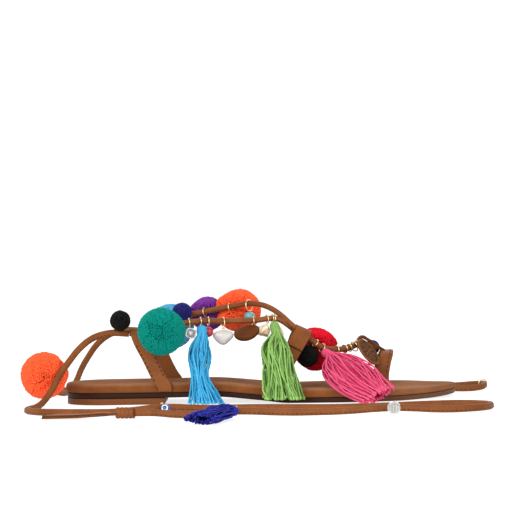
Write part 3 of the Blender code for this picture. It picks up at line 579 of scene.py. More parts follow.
def leather(name, light, dark, grain=1500, rough=0.44, shine=0.17, edge=None):
    """Smooth dyed leather: broad cloudy tone, fine pores, and where tone is high a rougher edge.

    The edge is dark, as a cut edge is, unless its colour is given; the footbed's pale one is a painted
    highlight.
    """
    made = Finish(name, specular_ior_level=shine)
    cloud = made.noise(70, 4)
    fine = made.noise(650, 3)
    colour = made.mix(made.spread(cloud * 0.7 + fine * 0.3, 0.32, 0.68), dark, light)
    # tone: dark cut edges on straps, painted highlight on the footbed's upper edge and top
    cut = made.tone()
    colour = made.mix(cut * 0.75, colour, edge or tuple(0.35 * c for c in dark))
    pores = made.cells(grain)
    made.wear(Base_Color=colour, Roughness=rough + fine * 0.16 + cut * 0.2)
    made.bump(pores * 0.6 + fine * 0.8 + cloud * 0.5, 0.00012, 0.55)
    return made


def stacked_leather(name, light, dark):
    """Sole edge: thin level layers, burnished dark, and paler where tone is high."""
    made = Finish(name, specular_ior_level=0.10)
    layers = made.noise(55, 4, 0.6, stretch=(1.0, 1.0, 40.0))
    fine = made.noise(900, 2)
    colour = made.mix(layers * 0.75 + fine * 0.25, dark, light)
    made.wear(Base_Color=made.mix(made.tone(), colour, PALE_SOLE_EDGE), Roughness=0.42 + fine * 0.2)
    made.bump(layers + fine * 0.4, 0.0002, 0.6)
    return made


def yarn(name, bright, dark, sheen=0.35):
    """Dyed yarn: each strand has its own tone, and fibres along it scatter light at its edge."""
    made = Finish(name, roughness=0.92, specular_ior_level=0.06, sheen_weight=sheen, sheen_roughness=0.45)
    made.shader.inputs["Sheen Tint"].default_value = (*(min(1.0, 0.05 + c) for c in bright), 1.0)
    fibre = made.noise(2600, 2)
    share = made.tone() * 0.85 + fibre * 0.3 - 0.08
    made.wear(Base_Color=made.mix(share, dark, bright))
    made.bump(fibre, 0.0001, 0.5)
    return made


def metal(name, colour, worn, roughness=0.2):
    """Plated metal with faint tarnish."""
    made = Finish(name, metallic=1.0)
    stain = made.noise(500, 4)
    made.wear(Base_Color=made.mix(stain * 0.8, colour, worn), Roughness=roughness + stain * 0.18)
    return made


def veined(name, base, light, vein):
    """Polished stone: cloudy colour with thin dark veins along the edges of warped cells."""
    made = Finish(name, roughness=0.28, coat_weight=0.3, coat_roughness=0.15)
    cloud = made.noise(420, 3)
    edge = made.cells(260, "DISTANCE_TO_EDGE") + cloud * 0.06 - 0.03
    lines = made.ramp(edge, [(0.0, (1, 1, 1)), (0.05, (0, 0, 0))])
    made.wear(Base_Color=made.mix(lines, made.mix(cloud, base, light), vein))
    return made


def glossy(name, colour, shade, roughness=0.12, **even):
    """Polished glass or stone of a cloudy colour."""
    made = Finish(name, roughness=roughness, coat_weight=0.4, coat_roughness=0.05, **even)
    made.wear(Base_Color=made.mix(made.noise(300, 3), colour, shade))
    return made


def shell(name, cream, tan, brown):
    """Cream with tan marks where tone is high and fine growth lines; the dark tone in a slit is painted
    shade.
    """
    made = Finish(name, roughness=0.3, coat_weight=0.25, coat_roughness=0.2)
    mottle = made.tone() * 0.9 + made.noise(380, 4) * 0.8 - 0.45
    made.wear(Base_Color=made.ramp(mottle, [(0.1, cream), (0.45, tan), (0.9, brown)]))
    made.bump(made.noise(900, 3), 0.0001, 0.4)
    return made


def bronze(name, dark, bright):
    """Cast bronze: dark in its hollows and rubbed bright where tone is high."""
    made = Finish(name, metallic=0.25, specular_ior_level=0.05)
    stain = made.noise(600, 5)
    wear_and_highlight = made.spread(stain, 0.35, 0.65)
    relief = made.tone()
    made.wear(Base_Color=made.mix(relief * 0.65 + wear_and_highlight * 0.3, dark, bright), Roughness=0.6 - relief * 0.18)
    made.bump(stain, 0.00025, 0.7)
    return made


def bezel(name, bright, dull):
    """Silver plate, polished where tone is high and dull in the hollow under a stone."""
    made = Finish(name, metallic=0.25, coat_weight=0.3, coat_roughness=0.1)
    shine = made.tone()
    rough = 0.45 - shine * 0.2 + made.noise(700, 3) * 0.1
    made.wear(Base_Color=made.mix(shine, dull, bright), Roughness=rough)
    return made


def eye_glass(name, pupil, pale, white, blue):
    """Blue glass with a dark pupil, a pale ring and a white ring, by tone."""
    made = Finish(name, roughness=0.08, coat_weight=0.5, coat_roughness=0.03)
    stops = [(0.0, pupil), (0.09, pale), (0.13, white), (0.21, blue)]
    made.wear(Base_Color=made.ramp(made.tone(), stops, "CONSTANT"))
    return made


CARAMEL = leather("caramel_leather", (0.235, 0.073, 0.0155), (0.148, 0.041, 0.008))
FOOTBED_LEATHER = leather(
    "footbed_leather",
    (0.206, 0.069, 0.021),
    (0.126, 0.038, 0.011),
    rough=0.75,
    shine=0.02,
    edge=HIGHLIGHT_LEATHER,
)
LACE_LEATHER = leather("lace_leather", (0.262, 0.082, 0.022), (0.150, 0.043, 0.010), 1900)
DARK_LEATHER = leather("dark_leather", (0.125, 0.035, 0.008), (0.075, 0.020, 0.005), shine=0.06)
DARK_SOLE = stacked_leather("dark_sole_edge", (0.034, 0.011, 0.006), (0.010, 0.004, 0.002))
LIFT = stacked_leather("heel_lift_leather", (0.20, 0.066, 0.019), (0.09, 0.029, 0.009))
GOLD = metal("gold_plate", (0.96, 0.76, 0.42), (0.68, 0.46, 0.20))
GREEN_GOLD = metal("green_gold", (0.62, 0.56, 0.22), (0.36, 0.30, 0.10), 0.25)
THREAD = yarn("brown_thread", (0.13, 0.042, 0.012), (0.05, 0.016, 0.005), 0.1)
TEAL = yarn("teal_yarn", (0.002, 0.32, 0.255), (0.0005, 0.11, 0.09))
LIGHT_BLUE = yarn("light_blue_yarn", (0.13, 0.52, 0.78), (0.03, 0.18, 0.32))
NAVY = yarn("navy_yarn", (0.030, 0.033, 0.22), (0.007, 0.007, 0.06))
PURPLE = yarn("purple_yarn", (0.28, 0.060, 0.43), (0.07, 0.012, 0.12))
ORANGE = yarn("orange_yarn", (1.0, 0.17, 0.055), (0.95, 0.070, 0.018))
RED = yarn("red_yarn", (0.95, 0.012, 0.034), (0.26, 0.002, 0.006))
BLACK = yarn("black_yarn", (0.015, 0.015, 0.014), (0.003, 0.003, 0.003), 0.15)
YARN_BLUE = yarn("blue_cotton", (0.075, 0.47, 0.76), (0.008, 0.13, 0.30), 0.15)
YARN_GREEN = yarn("green_cotton", (0.29, 0.51, 0.14), (0.035, 0.10, 0.010), 0.15)
YARN_PINK = yarn("pink_cotton", (0.88, 0.12, 0.25), (0.34, 0.008, 0.05), 0.15)
YARN_NAVY = yarn("navy_cotton", (0.035, 0.040, 0.38), (0.006, 0.007, 0.08), 0.2)
TURQUOISE = veined("turquoise_stone", (0.06, 0.29, 0.32), (0.15, 0.42, 0.45), (0.05, 0.11, 0.10))
PALE_SILVER = bezel("pale_silver", (0.95, 0.94, 0.93), (0.40, 0.35, 0.33))
WHITE_STONE = glossy("white_stone", (0.55, 0.52, 0.50), (0.46, 0.42, 0.41), 0.42)
CUT_STONE = glossy("cut_stone", (0.96, 0.95, 0.94), (0.72, 0.69, 0.67), 0.06, metallic=0.25)
RED_GLASS = glossy("red_glass", (0.48, 0.012, 0.035), (0.30, 0.006, 0.02))
CRYSTAL = glossy(
    "crystal_glass", (0.80, 0.85, 0.86), (0.72, 0.78, 0.80), 0.03, transmission_weight=0.75, ior=1.55
)
SHELL = shell("cream_shell", (0.84, 0.68, 0.50), (0.62, 0.38, 0.22), (0.22, 0.10, 0.05))
BRONZE = bronze("cast_bronze", (0.034, 0.010, 0.002), (0.31, 0.118, 0.028))
EYE_GLASS = eye_glass(
    "eye_glass", (0.004, 0.005, 0.012), (0.10, 0.35, 0.70), (0.80, 0.82, 0.84), (0.012, 0.03, 0.26)
)


# Sole
def quarter_oval(share):
    """Height of a quarter oval at a share of its length, and 1 past its end."""
    return np.sqrt(np.clip(1 - (1 - np.minimum(share, 1)) ** 2, 0, 1))


def outline(stations, inset):
    """The sole's outline, inner side forward and outer side back, moved in square to itself.

    The half width follows the table, times quarter ovals that bring it to nothing at the heel and the toe.
    """
    ends = quarter_oval(stations / HEEL_ROUND) * quarter_oval((SOLE_LENGTH - stations) / TOE_ROUND)
    half = sole_value(HALF_WIDTH, stations) * ends
    middle = sole_value(MIDDLE, stations)
    inner = np.column_stack([stations, middle + half])
    outer = np.column_stack([stations, middle - half])
    last = -1 if stations[-1] == SOLE_LENGTH else None
    ring = np.concatenate([inner, outer[1:last][::-1]])
    along = unit(np.roll(ring, -1, axis=0) - np.roll(ring, 1, axis=0))
    return ring + inset * np.column_stack([along[:, 1], -along[:, 0]])


def sole_stations(end):
    """Places along the sole, close together at the round ends."""
    spread = SOLE_LENGTH * (1 - np.cos(np.linspace(0, np.pi, SOLE_STEPS))) / 2
    spread[-1] = SOLE_LENGTH
    return spread if end == SOLE_LENGTH else np.append(spread[spread < end - 1], end)


def slab(stations, edge, under, thick, dish=0.0):
    """A sheet of the sole's outline: rows of inset and share of the thickness, then rings that close in.

    The rings move from the edge to the sole's spine above and below, and the top is dished by half way.
    """

    def closing(ring, height, sink):
        end = min(stations[-1], SOLE_LENGTH - TOE_ROUND)
        spine_x = np.clip(ring[:, 0], stations[0] + HEEL_ROUND, end)
        spine = np.column_stack([spine_x, sole_value(MIDDLE, spine_x)])
        flats = [ring[:, :2] * (1 - t) + spine * t for t in CLOSING]
        sunk = [sink * soft_step(0.0, 0.5, t) for t in CLOSING]
        return [np.column_stack([flat, height(flat[:, 0]) - deep]) for flat, deep in zip(flats, sunk)]

    rows = []
    for inset, share in edge:
        flat = outline(stations, inset)
        rows.append(np.column_stack([flat, under(flat[:, 0]) + share * thick(flat[:, 0])]))
    top = closing(rows[-1], lambda at: under(at) + thick(at), dish)
    rings = closing(rows[0], under, 0.0)[::-1] + rows + top
    return skin(np.array(rings)[:, ::-1], capped=False, tone=0.0)


def make_sole():
    """Footbed on outsole on heel lift; tone is high for the footbed's painted highlight and the outsole's
    paler toe.
    """
    whole = sole_stations(SOLE_LENGTH)

    def underside(at):
        return sole_value(UNDERSIDE, at)

    def footbed_under(at):
        return underside(at) + OUTSOLE_THICK + GAP

    def footbed_thick(at):
        return sole_value(FOOTBED, at) - TOE_THINNED * soft_step(*THINNED_FROM, at)

    angle = np.radians(np.linspace(-90, 90, 13))
    insets = np.where(angle < 0, ROUND_UNDER, ROUND_TOP) * (1 - np.cos(angle))
    round_edge = list(zip(insets, 0.5 + 0.5 * np.sin(angle)))
    footbed = slab(whole, round_edge, footbed_under, footbed_thick, FOOTBED_DISH)
    x, z = footbed.points[:, 0], footbed.points[:, 2]
    level = (z - footbed_under(x)) / sole_value(FOOTBED, x)
    # painted highlight on the footbed's upper edge and top, stronger towards the toe
    wear_and_highlight = PAINTED_HIGHLIGHT * soft_step(*HIGHLIGHT_FROM, level) + HIGHLIGHT_TOE * soft_step(*PALER_TOE_FROM, x)
    footbed = footbed._replace(tone=wear_and_highlight)
    piece("footbed_board", footbed, FOOTBED_LEATHER, stands_for=["footbed"], merge=True)

    edge = [(OUTSOLE_INSET + inset, share) for inset, share in SQUARE_EDGE]
    outsole = slab(whole, edge, underside, lambda at: OUTSOLE_THICK + 0 * at)
    outsole = outsole._replace(tone=OUTSOLE_TOE_PALE * soft_step(*PALER_TOE_FROM, outsole.points[:, 0]))
    lift = slab(sole_stations(HEEL_BREAST), edge, lambda at: 0 * at, lambda at: underside(at) - GAP)
    for name, shape, finish, node in (
        ("outsole_sheet", outsole, DARK_SOLE, "outsole"),
        ("heel_lift_block", lift, LIFT, "heel_lift"),
    ):
        piece(name, shape, finish, stands_for=[node], merge=True, sharp=SHARP_EDGE)


# Straps and laces
def strap_profile(width, thick):
    """Flat strap: two faces joined by half ovals, squared off by powers below 1 of the sine and cosine."""
    angle = np.pi * (np.arange(9) / 8 - 0.5)
    rise = np.sign(np.sin(angle)) * abs(np.sin(angle)) ** 0.7
    corner = 0.5 * thick
    flat = width / 2 - corner
    right = np.column_stack([flat + corner * np.cos(angle) ** 0.6, thick / 2 * rise])
    top = np.column_stack([np.linspace(1, -1, 7)[1:-1] * flat, np.full(5, thick / 2)])
    return np.concatenate([right, top, -right, -top])


def strap(path, width, side, thick=STRAP_THICK, lifted=0.0):
    """Strap along a path, or lifted off it; tone is high on the cut edges and ends, the ends partly painted
    shade.
    """
    profile = strap_profile(width, thick) + (0.0, lifted)
    edge = soft_step(0.90, 1.0, abs(profile[:, 0]) / (width / 2))
    # dark ends: the colour of a cut end, and painted shade for the shadow line under the flap's end
    ends = np.isin(np.arange(len(path)), (0, len(path) - 1))[:, None]
    return skin(carried(path, profile, side), tone=np.maximum(edge, 0.9 * ends))


def stitches(path, offset, height, side, step=2.9, long=1.8, radius=0.32):
    """Sewn thread: short tubes along a path, a fixed way across it and above it, that dip at both ends."""
    run = run_of(path)
    across, out = across_and_out(path, side)
    start = np.arange(step, run[-1] - step, step)
    at = start[:, None] + np.linspace(0, long, len(STITCH_DIP))
    line = read_at(at, run, path + offset * across + height * out)
    dip = STITCH_DIP[:, None] * read_at(at, run, np.sign(height) * out)
    return skin(tubes(line - dip, radius, 4), tone=0.2)


def seam_stitches(path, size, step, long):
    """Fine stitches along both seams of a lace."""
    deep = size / 2 * SEAM_DEEP
    return [stitches(path, SEAM_OFF, height, UP, step, long, THREAD_WIRE) for height in (-deep, deep)]


def lace_shape(path, size):
    """Rolled leather lace: an oval with a shallow seam along its outer and inner face."""
    ring = circle(24)
    seam = 1 - 0.10 * bell(abs(ring[:, 1]), 1.0, 0.03)
    profile = ring * (size / 2 * 1.04, size / 2 * 0.94) * seam[:, None]
    return skin(carried(path, profile, UP), tone=0.12)


def make_upper():
    """Laces, posts, midfoot strap with flap, toe loop and tab; laces, posts and toe loop sewn; gives the
    laces' lines.
    """
    outer, inner = through(LACE_LATERAL, 1.2), through(LACE_MEDIAL, 1.2)
    post = through(POST_LATERAL, 1.0)
    inner_post = through([(x + POST_SHIFT, POST_MIRROR - y, z) for x, y, z in POST_LATERAL], 1.0)
    midfoot = through(MIDFOOT_STRAP, 1.0)
    loop, tab = through(TOE_LOOP, 1.0) + TOE_LOOP_AHEAD * ALONG, through(TOE_TAB, 0.8)
    beside = MIDFOOT_WAY + soft_step(*FOLD_RISE, midfoot[:, 2:]) * (0, FOLD_LEAN, -FOLD_SLOPE)
    before_fold = np.arange(len(midfoot)) < np.argmax(midfoot[:, 2]) + 2
    folded = before_fold & (midfoot[:, 2] > FLAP_LOW)
    lifted = -(STRAP_THICK + FLAP_THICK) / 2
    flap = strap(midfoot[folded], MIDFOOT_WIDTH + FLAP_PROUD, beside[folded], FLAP_THICK, lifted)

    piece("lace_outer", lace_shape(outer, LACE), LACE_LEATHER, stands_for=["upper"])
    piece("lace_inner", lace_shape(inner, LACE), LACE_LEATHER)
    for name, shape in (
        ("heel_post_outer", strap(post, POST_WIDTH, ALONG)),
        ("heel_post_inner", strap(inner_post, POST_WIDTH, ALONG)),
        ("midfoot_loop", strap(midfoot, MIDFOOT_WIDTH, beside)),
        ("midfoot_flap", flap),
        ("toe_loop_band", strap(loop, TOE_LOOP_WIDTH, ALONG)),
        ("toe_tab_fold", strap(tab, TOE_TAB_WIDTH, SIDE)),
    ):
        piece(name, shape, CARAMEL)

    face = STRAP_THICK / 2 + 0.05
    rows = [stitches(loop[TOE_SEWN], TOE_LOOP_WIDTH / 2 - 1.9, -face, ALONG)]
    for path, height in ((post, -face), (inner_post, face)):
        off = POST_WIDTH / 2 - 1.2
        rows += [stitches(path[POST_SEWN], sign * off, height, ALONG) for sign in (-1, 1)]
    piece("strap_stitches", joined(*rows), THREAD)
    rows = seam_stitches(outer[2:-4], LACE, 2.6, 1.3) + seam_stitches(inner[2:-4], LACE, 2.6, 1.3)
    piece("lace_stitches", joined(*rows), THREAD)
    return outer, inner


def make_tie(name, route):
    """Round lace along its route, a smooth curve through the drawn points, with stitches on its seams."""
    path = through(through(route, TIE_STEP), 1.6)
    path[:, 2] = np.maximum(path[:, 2], TIE / 2 + GAP / 2)
    made = piece(f"tie_{name}_lace", lace_shape(path, TIE), CARAMEL, stands_for=[f"tie_{name}"])
    sewn = piece(f"tie_{name}_stitches", joined(*seam_stitches(path[4:-4], TIE, 2.8, 1.4)), THREAD)
    return made, path, sewn


# Rings
Spot = namedtuple("Spot", "point along hangs ring_middle low")


def hung(path, where, ring, hangs, half=LACE / 2):
    """Where a ring hangs on a lace, at a distance from the heel's back or nearest to a point.

    The ring rests on the lace's top, so its middle is below the lace's by the slack between them.
    """
    off = path - where if np.ndim(where) else path[:, :1] - where
    k = np.clip(np.argmin(np.linalg.norm(off, axis=1)), 1, len(path) - 2)
    point, along = path[k], unit(path[k + 1] - path[k - 1])
    hangs = square_to(hangs, along)
    slack = ring - RING_WIRE - half - GAP
    return Spot(point, along, hangs, point + slack * hangs, slack + ring + RING_WIRE + GAP)


def jump_ring(middle, around, radius, cut=UP, wire=WIRE):
    """Round wire bent to a ring, with its ends just apart."""
    first = square_to(cut, around)
    angle = np.linspace(RING_CUT, 2 * np.pi - RING_CUT, 41)[:, None]
    path = middle + radius * (np.cos(angle) * first + np.sin(angle) * np.cross(around, first))
    return skin(carried(path, wire * circle(10), around))


def ring_piece(name, spot, radius, body=SHOE):
    """The gold ring of a charm or a tassel, in place of its solid."""
    shape = jump_ring(spot.ring_middle, spot.along, radius)
    return piece(f"ring_{name}_wire", shape, GOLD, body, [f"ring_{name}"])


# Poms
YARNS = 21  # cut yarns for each square millimetre of a pom's radius squared
TUFTS = 44
LEAN = 0.058  # how far a yarn's end leans to the middle of its tuft
YARN_FROM = 0.80  # where a yarn leaves the core, as a share of its reach
YARN_HALF = 0.62 * np.array([0.9, 0.8])  # half its thickness at root and end, in spaces between yarns
ROOT_SHADE_TIP_LIGHT = np.array([-0.45, 0.06])  # painted shade at the root and painted light at the end: how much darker or paler a yarn is there
FOLD_WIDTH = 0.15  # of the fold along a lace, as a share of the radius
LOBES = (0.42, 0.28)  # how far from the fold the lobes rise, and their width
# the core ball is dark, painted shade under the yarns; its radius as a share of the pom's
POM_CORE = 0.84
STRAY = 10  # one yarn in so many has a loose fibre
FIBRE = 0.06


def spiral(count):
    """Directions spread evenly over a ball, at equal steps of height and a golden turn apart."""
    height = 1 - 2 * (np.arange(count) + 0.5) / count
    level = np.sqrt(1 - height**2)
    turn = np.arange(count) * GOLDEN_TURN
    return np.column_stack([level * np.cos(turn), level * np.sin(turn), height])


def kept_off(paths, lace, room):
    """Points of many paths, those nearer to a lace's middle line than the room moved straight out to it."""
    off = paths[:, :, None] - lace
    far = np.linalg.norm(off, axis=-1)
    k = far.argmin(axis=-1)[..., None]
    gap = np.take_along_axis(far, k, -1)
    away = np.take_along_axis(off, k[..., None], 2)[:, :, 0] / np.maximum(gap, 0.01)
    return paths + np.maximum(0, room - gap) * away


def make_pom(name, finish, seed, lace=None, swell=0.0, neighbour=None):
    """Ball of cut yarn: blunt ends on a spiral of directions, which lean to the nearest of some tufts.

    Between the tufts are faint partings. Where a lace is pulled into the ball, a fold runs along it between
    two lobes that swell on either side; ends stay out of the lace, and those that reach a neighbour are cut
    short.
    """
    centre, half = middle_of(f"pom_{name}")
    radius = half.max()
    draw = np.random.default_rng(seed)
    count = int(YARNS * radius**2)
    spacing = np.sqrt(4 * np.pi / count)
    way = spiral(count)
    way = unit(way + 0.22 * spacing * draw.normal(size=way.shape))
    tufts = unit(draw.normal(size=(TUFTS, 3)))
    tuft = tufts[np.argmax(way @ tufts.T, axis=1)]
    tip_way = unit(way + LEAN * tuft + 0.25 * spacing * draw.normal(size=way.shape))
    reach = radius * (0.985 + 0.018 * waves(way * radius, seed, 8.0) + 0.010 * draw.normal(size=count))
    fold_shade = 0.0
    if lace is not None:
        lace = lace[np.linalg.norm(lace - centre, axis=1) < radius + 7]
        to_lace = unit(lace.mean(axis=0) - centre)
        off_fold = way @ unit(np.cross(lace[-1] - lace[0], to_lace))
        deep = bell(off_fold, 0, FOLD_WIDTH)
        lobes = bell(abs(off_fold), *LOBES) - 1.1 * deep
        reach *= 1 + swell * lobes * soft_step(0.1, 0.8, way @ to_lace)
        # painted shade deep in the fold along the lace
        fold_shade = 4 * swell * deep * soft_step(0.0, 0.6, way @ to_lace)
    spread = np.stack([way, tip_way], axis=1)
    paths = centre + reach[:, None, None] * np.array([YARN_FROM, 1.0])[:, None] * spread
    if lace is not None:
        paths = kept_off(paths, lace, LACE / 2 + 0.45)
    if neighbour is not None:
        other, other_half = middle_of(f"pom_{neighbour}")
        depth = other_half.max() - np.linalg.norm(paths - other, axis=-1, keepdims=True)
        paths = paths - np.maximum(0, depth) * spread
    paths[..., 2] = np.maximum(paths[..., 2], 0.6)

    thick = YARN_HALF * spacing * radius
    mottle = waves(way * radius, seed + 20, 4.5) + waves(way * radius, seed + 40, 1.8)
    # tone: random mottle, painted shade in the fold and at the root, a little painted light at the end
    own = 0.64 + 0.12 * draw.normal(size=(count, 1, 1)) + (0.14 * mottle - fold_shade)[:, None, None]
    tone = np.clip(own + ROOT_SHADE_TIP_LIGHT[:, None], 0, 1)
    yarns = skin(tubes(paths, thick, 4), tone=tone)
    stray = draw.permutation(count)[: count // STRAY]
    ends, out = paths[stray, -1:], spread[stray, -1:]
    loose = unit(out + 0.5 * draw.normal(size=out.shape))
    tips = ends + draw.uniform(0.2, 0.8, (len(stray), 1, 1)) * loose
    fuzz = np.concatenate([ends - 0.6 * out, tips], axis=1)
    fuzz[..., 2] = np.maximum(fuzz[..., 2], 0.2)
    # loose fibres are pale, a painted highlight on the fuzzy rim; the core ball is dark, painted shade
    shade_core = skin(turned(centre, UP, ball_rows(POM_CORE * radius, 12), 24), tone=0.08)
    shape = joined(yarns, skin(tubes(fuzz, FIBRE, 4), tone=0.8), shade_core)
    return piece(f"pom_{name}_yarn", shape, finish, stands_for=[f"pom_{name}"])


def make_poms(outer, inner, tie):
    """Each pom's colour, lace, how far its lobes swell and the neighbour that cuts it short."""
    made = {}
    for seed, (name, finish, slot, lace, swell, neighbour) in enumerate(
        (
            ("teal", TEAL, "teal", outer, 0.0, None),
            ("light_blue", LIGHT_BLUE, "light_blue", inner, 0.0, None),
            ("navy", NAVY, "navy", inner, 0.0, None),
            ("purple", PURPLE, "purple", inner, 0.12, "orange"),
            ("orange", ORANGE, "orange", inner, 0.18, None),
            ("red", RED, "red", outer, 0.07, "black"),
            ("black", BLACK, "black", outer, 0.0, None),
            ("toe_navy", NAVY, "navy", None, 0.0, None),
            ("tie_black", BLACK, "black", tie, 0.0, None),
            ("tie_orange", ORANGE, "orange", tie, 0.05, None),
        ),
        start=3,
    ):
        made[name] = make_pom(name, finish, seed, lace, swell, neighbour)
    return made


# Yarn tassels
CORE = 0.68  # a tassel's dark core, painted shade between its cords, as a share of its bundle
INNERMOST = 0.3  # where the inmost cords are, as a share of the way out
OUTER_SIDE_LIGHT = 0.34  # painted light: how much brighter the outer side of a cord is
CORD_STEPS = 64
CORD_TURNS = 7  # of its plies
DOME = 0.42  # the round part of a cap, as a share of its length
RIB = 0.05


def twisted(cord, turns, phase, sides):
    """Radius of cords of two plies, by cord, place and side: an oval that turns along the cord."""
    run = np.linspace(0, turns, CORD_STEPS)[:, None] + np.arange(sides) / sides
    return cord * (1 + PLY * np.cos(4 * np.pi * (run + phase[:, None, None])))


def wound_cap(top, neck, width, wraps):
    """A cap of wound thread: a dome on a slightly waisted drum, ribbed by its wraps, with painted shade in
    the grooves.
    """
    axis = neck - top
    long = np.linalg.norm(axis)
    share = np.linspace(0.0, 1.0, 90)
    dome = np.sqrt(np.clip(1 - (1 - np.minimum(share / DOME, 1)) ** 2.4, 0.002, 1))
    waist = 1 - 0.10 * soft_step(0.65, 1.0, share)
    groove = (1 - abs(np.sin(np.pi * wraps * share))) ** 2
    rows = np.column_stack([1.15 * share * long, width / 2 * dome * waist * (1 - RIB * groove)])
    slant = long / wraps / 2 * np.sin(angles(32))
    lift = slant * (soft_step(0.3, 0.6, share) * soft_step(1.0, 0.8, share))[:, None]
    # painted shade in the grooves between wraps
    return skin(turned(top, axis, rows, 32, lift=lift), tone=0.66 - 0.3 * groove[:, None])


def make_tassel(
    name, rows, wide_way, finish, cords, seed, cord, wander, sway, level=None, plied=True, wraps=7
):
    """Cords that leave a wound cap and fill the bundle's ovals.

    A cord keeps its place in the oval, a point of a sunflower spiral round a dark core of painted shade, and
    wanders about it on two slow waves, whose number along the cord is about the sway; a few loose ones
    wander further. Where a level is given, the last stretch of each cord is drawn out along the bundle until
    its end comes down to that height. Cords nearer the middle carry painted shade, and the side of a cord
    that faces out of the oval carries painted light, brighter than the side that lies on others.
    """
    draw = np.random.default_rng(seed)
    table = through(rows, 0.8)
    run = np.linspace(0, run_of(table)[-1], len(table))
    wide, deep = across_and_out(table[:, :3], wide_way)
    top, neck = np.array(rows[0][:3]), np.array(rows[1][:3])
    start = 0.8 * np.linalg.norm(neck - top)

    share = np.linspace(0, 1, CORD_STEPS)
    cut = run[-1] * (1 - 0.05 * draw.uniform(0, 1, (cords, 1)) ** 2)
    values = read_at(start + share * (cut - start), run, np.column_stack([table, wide, deep]))
    middle, size, across, out = np.split(values, (3, 5, 8), axis=-1)
    across, out = unit(across), unit(out)
    reach = np.sqrt(INNERMOST**2 + (1 - INNERMOST**2) * (np.arange(cords) + 0.5) / cords)
    turn = np.arange(cords) * GOLDEN_TURN + draw.uniform(0, 0.5, cords)
    loose = wander * np.where(draw.uniform(size=cords) < 0.10, 2.0, 1.0)[:, None]
    number = sway * draw.uniform(0.5, 1.5, (2, cords, 1))
    waver = np.sin(2 * np.pi * (share * number + draw.uniform(0, 1, (2, cords, 1))))
    waver = waver * loose * soft_step(0.0, 0.3, share)
    seat = reach * np.stack([np.cos(turn), np.sin(turn)])
    seat = np.clip(seat[..., None] + waver, -1.05, 1.05)
    room = np.maximum(size / 2 - cord, 0.2) * (0.74 + 0.26 * soft_step(0.0, 0.16, share))[:, None]
    room = np.moveaxis(room, -1, 0)
    paths = middle + (seat * room)[0, ..., None] * across + (seat * room)[1, ..., None] * out
    if level is not None:
        fall = unit(middle[:, -1] - middle[:, -5])
        spare = (level + 1.6 * draw.uniform(0, 1, cords) ** 2 - paths[:, -1, 2]) / fall[:, 2]
        paths = paths + (spare[:, None] * share**3)[..., None] * fall[:, None]

    own = 0.55 + 0.16 * draw.normal(size=(cords, 1))
    # painted shade on the cords nearer the middle of the bundle
    tone = own + 0.2 * (share > 0.97) - 0.7 * (1 - reach)[:, None]
    knot = 1 + 0.35 * bell(share, 0.985, 0.012)
    paths[..., 2] = np.maximum(paths[..., 2], 1.2 * cord + 0.1)
    sides = 6 if plied else 4
    radius = twisted(cord, CORD_TURNS * plied, draw.uniform(0, 1, cords), sides) * knot[:, None]
    rounds = tubes(paths, radius, sides)
    # painted light on the side of each cord that faces out of the bundle
    outward = unit((seat / room)[0, ..., None] * across + (seat / room)[1, ..., None] * out)
    side_light = ((rounds - paths[:, :, None]) * outward[:, :, None]).sum(axis=-1) / cord
    body = skin(rounds, tone=np.clip(tone[..., None] + OUTER_SIDE_LIGHT * side_light, 0, 1))
    # the dark core is painted shade in the gaps between the cords
    heart = table[(run > start) & (run < 0.86 * run[-1])]
    shade_core = skin(carried(heart[:, :3], CORE / 2 * heart[:, None, 3:5] * circle(20), wide_way), tone=0.05)
    shape = joined(body, shade_core, wound_cap(top, neck, rows[0][3], wraps))
    return piece(f"tassel_{name}_yarn", shape, finish, stands_for=[f"tassel_{name}"])


def make_tassels():
    """Three plied tassels on the lace and a finer one on the tie, which is given back."""
    make_tassel("blue", BLUE_YARN, ALONG, YARN_BLUE, 90, 11, 0.52, 0.15, 1.0, level=0.9)
    make_tassel("green", GREEN_YARN, MIDFOOT_WAY, YARN_GREEN, 108, 12, 0.54, 0.16, 1.0, level=3.2)
    make_tassel("pink", PINK_YARN, PINK_WAY, YARN_PINK, 136, 13, 0.47, 0.13, 0.8)
    return make_tassel(
        "tie_navy", NAVY_YARN, ALONG, YARN_NAVY, 122, 14, 0.36, 0.14, 1.0, plied=False, wraps=12
    )


# Leather tassels on the ties' ends
CAP_LONG = 11.0
CAP_HALF = 3.3
CAP_STEPS = 150
CAP_WRAPS = 4.5
CAP_ROUND = np.array((0.75, 0.9, 0.97))  # its first and last rows, as shares of its radius
STRIPS = 11
STRIP_FROM = 9.5  # inside the cap
STRIP_LONG = 54.0
STRIP_THICK = 1.0
FAN = ((0, 11, 13, 32, 54), (1.6, 1.8, 2.8, 4.4, 6.2))  # along the tassel, half the width of all its strips
FALL = ((0, 11, 15, 32, 54), (3.4, 3.3, 2.4, 1.4, 0.9))  # along it, height of the lower strips
LAYER = 1.05  # how much higher the upper strips lie


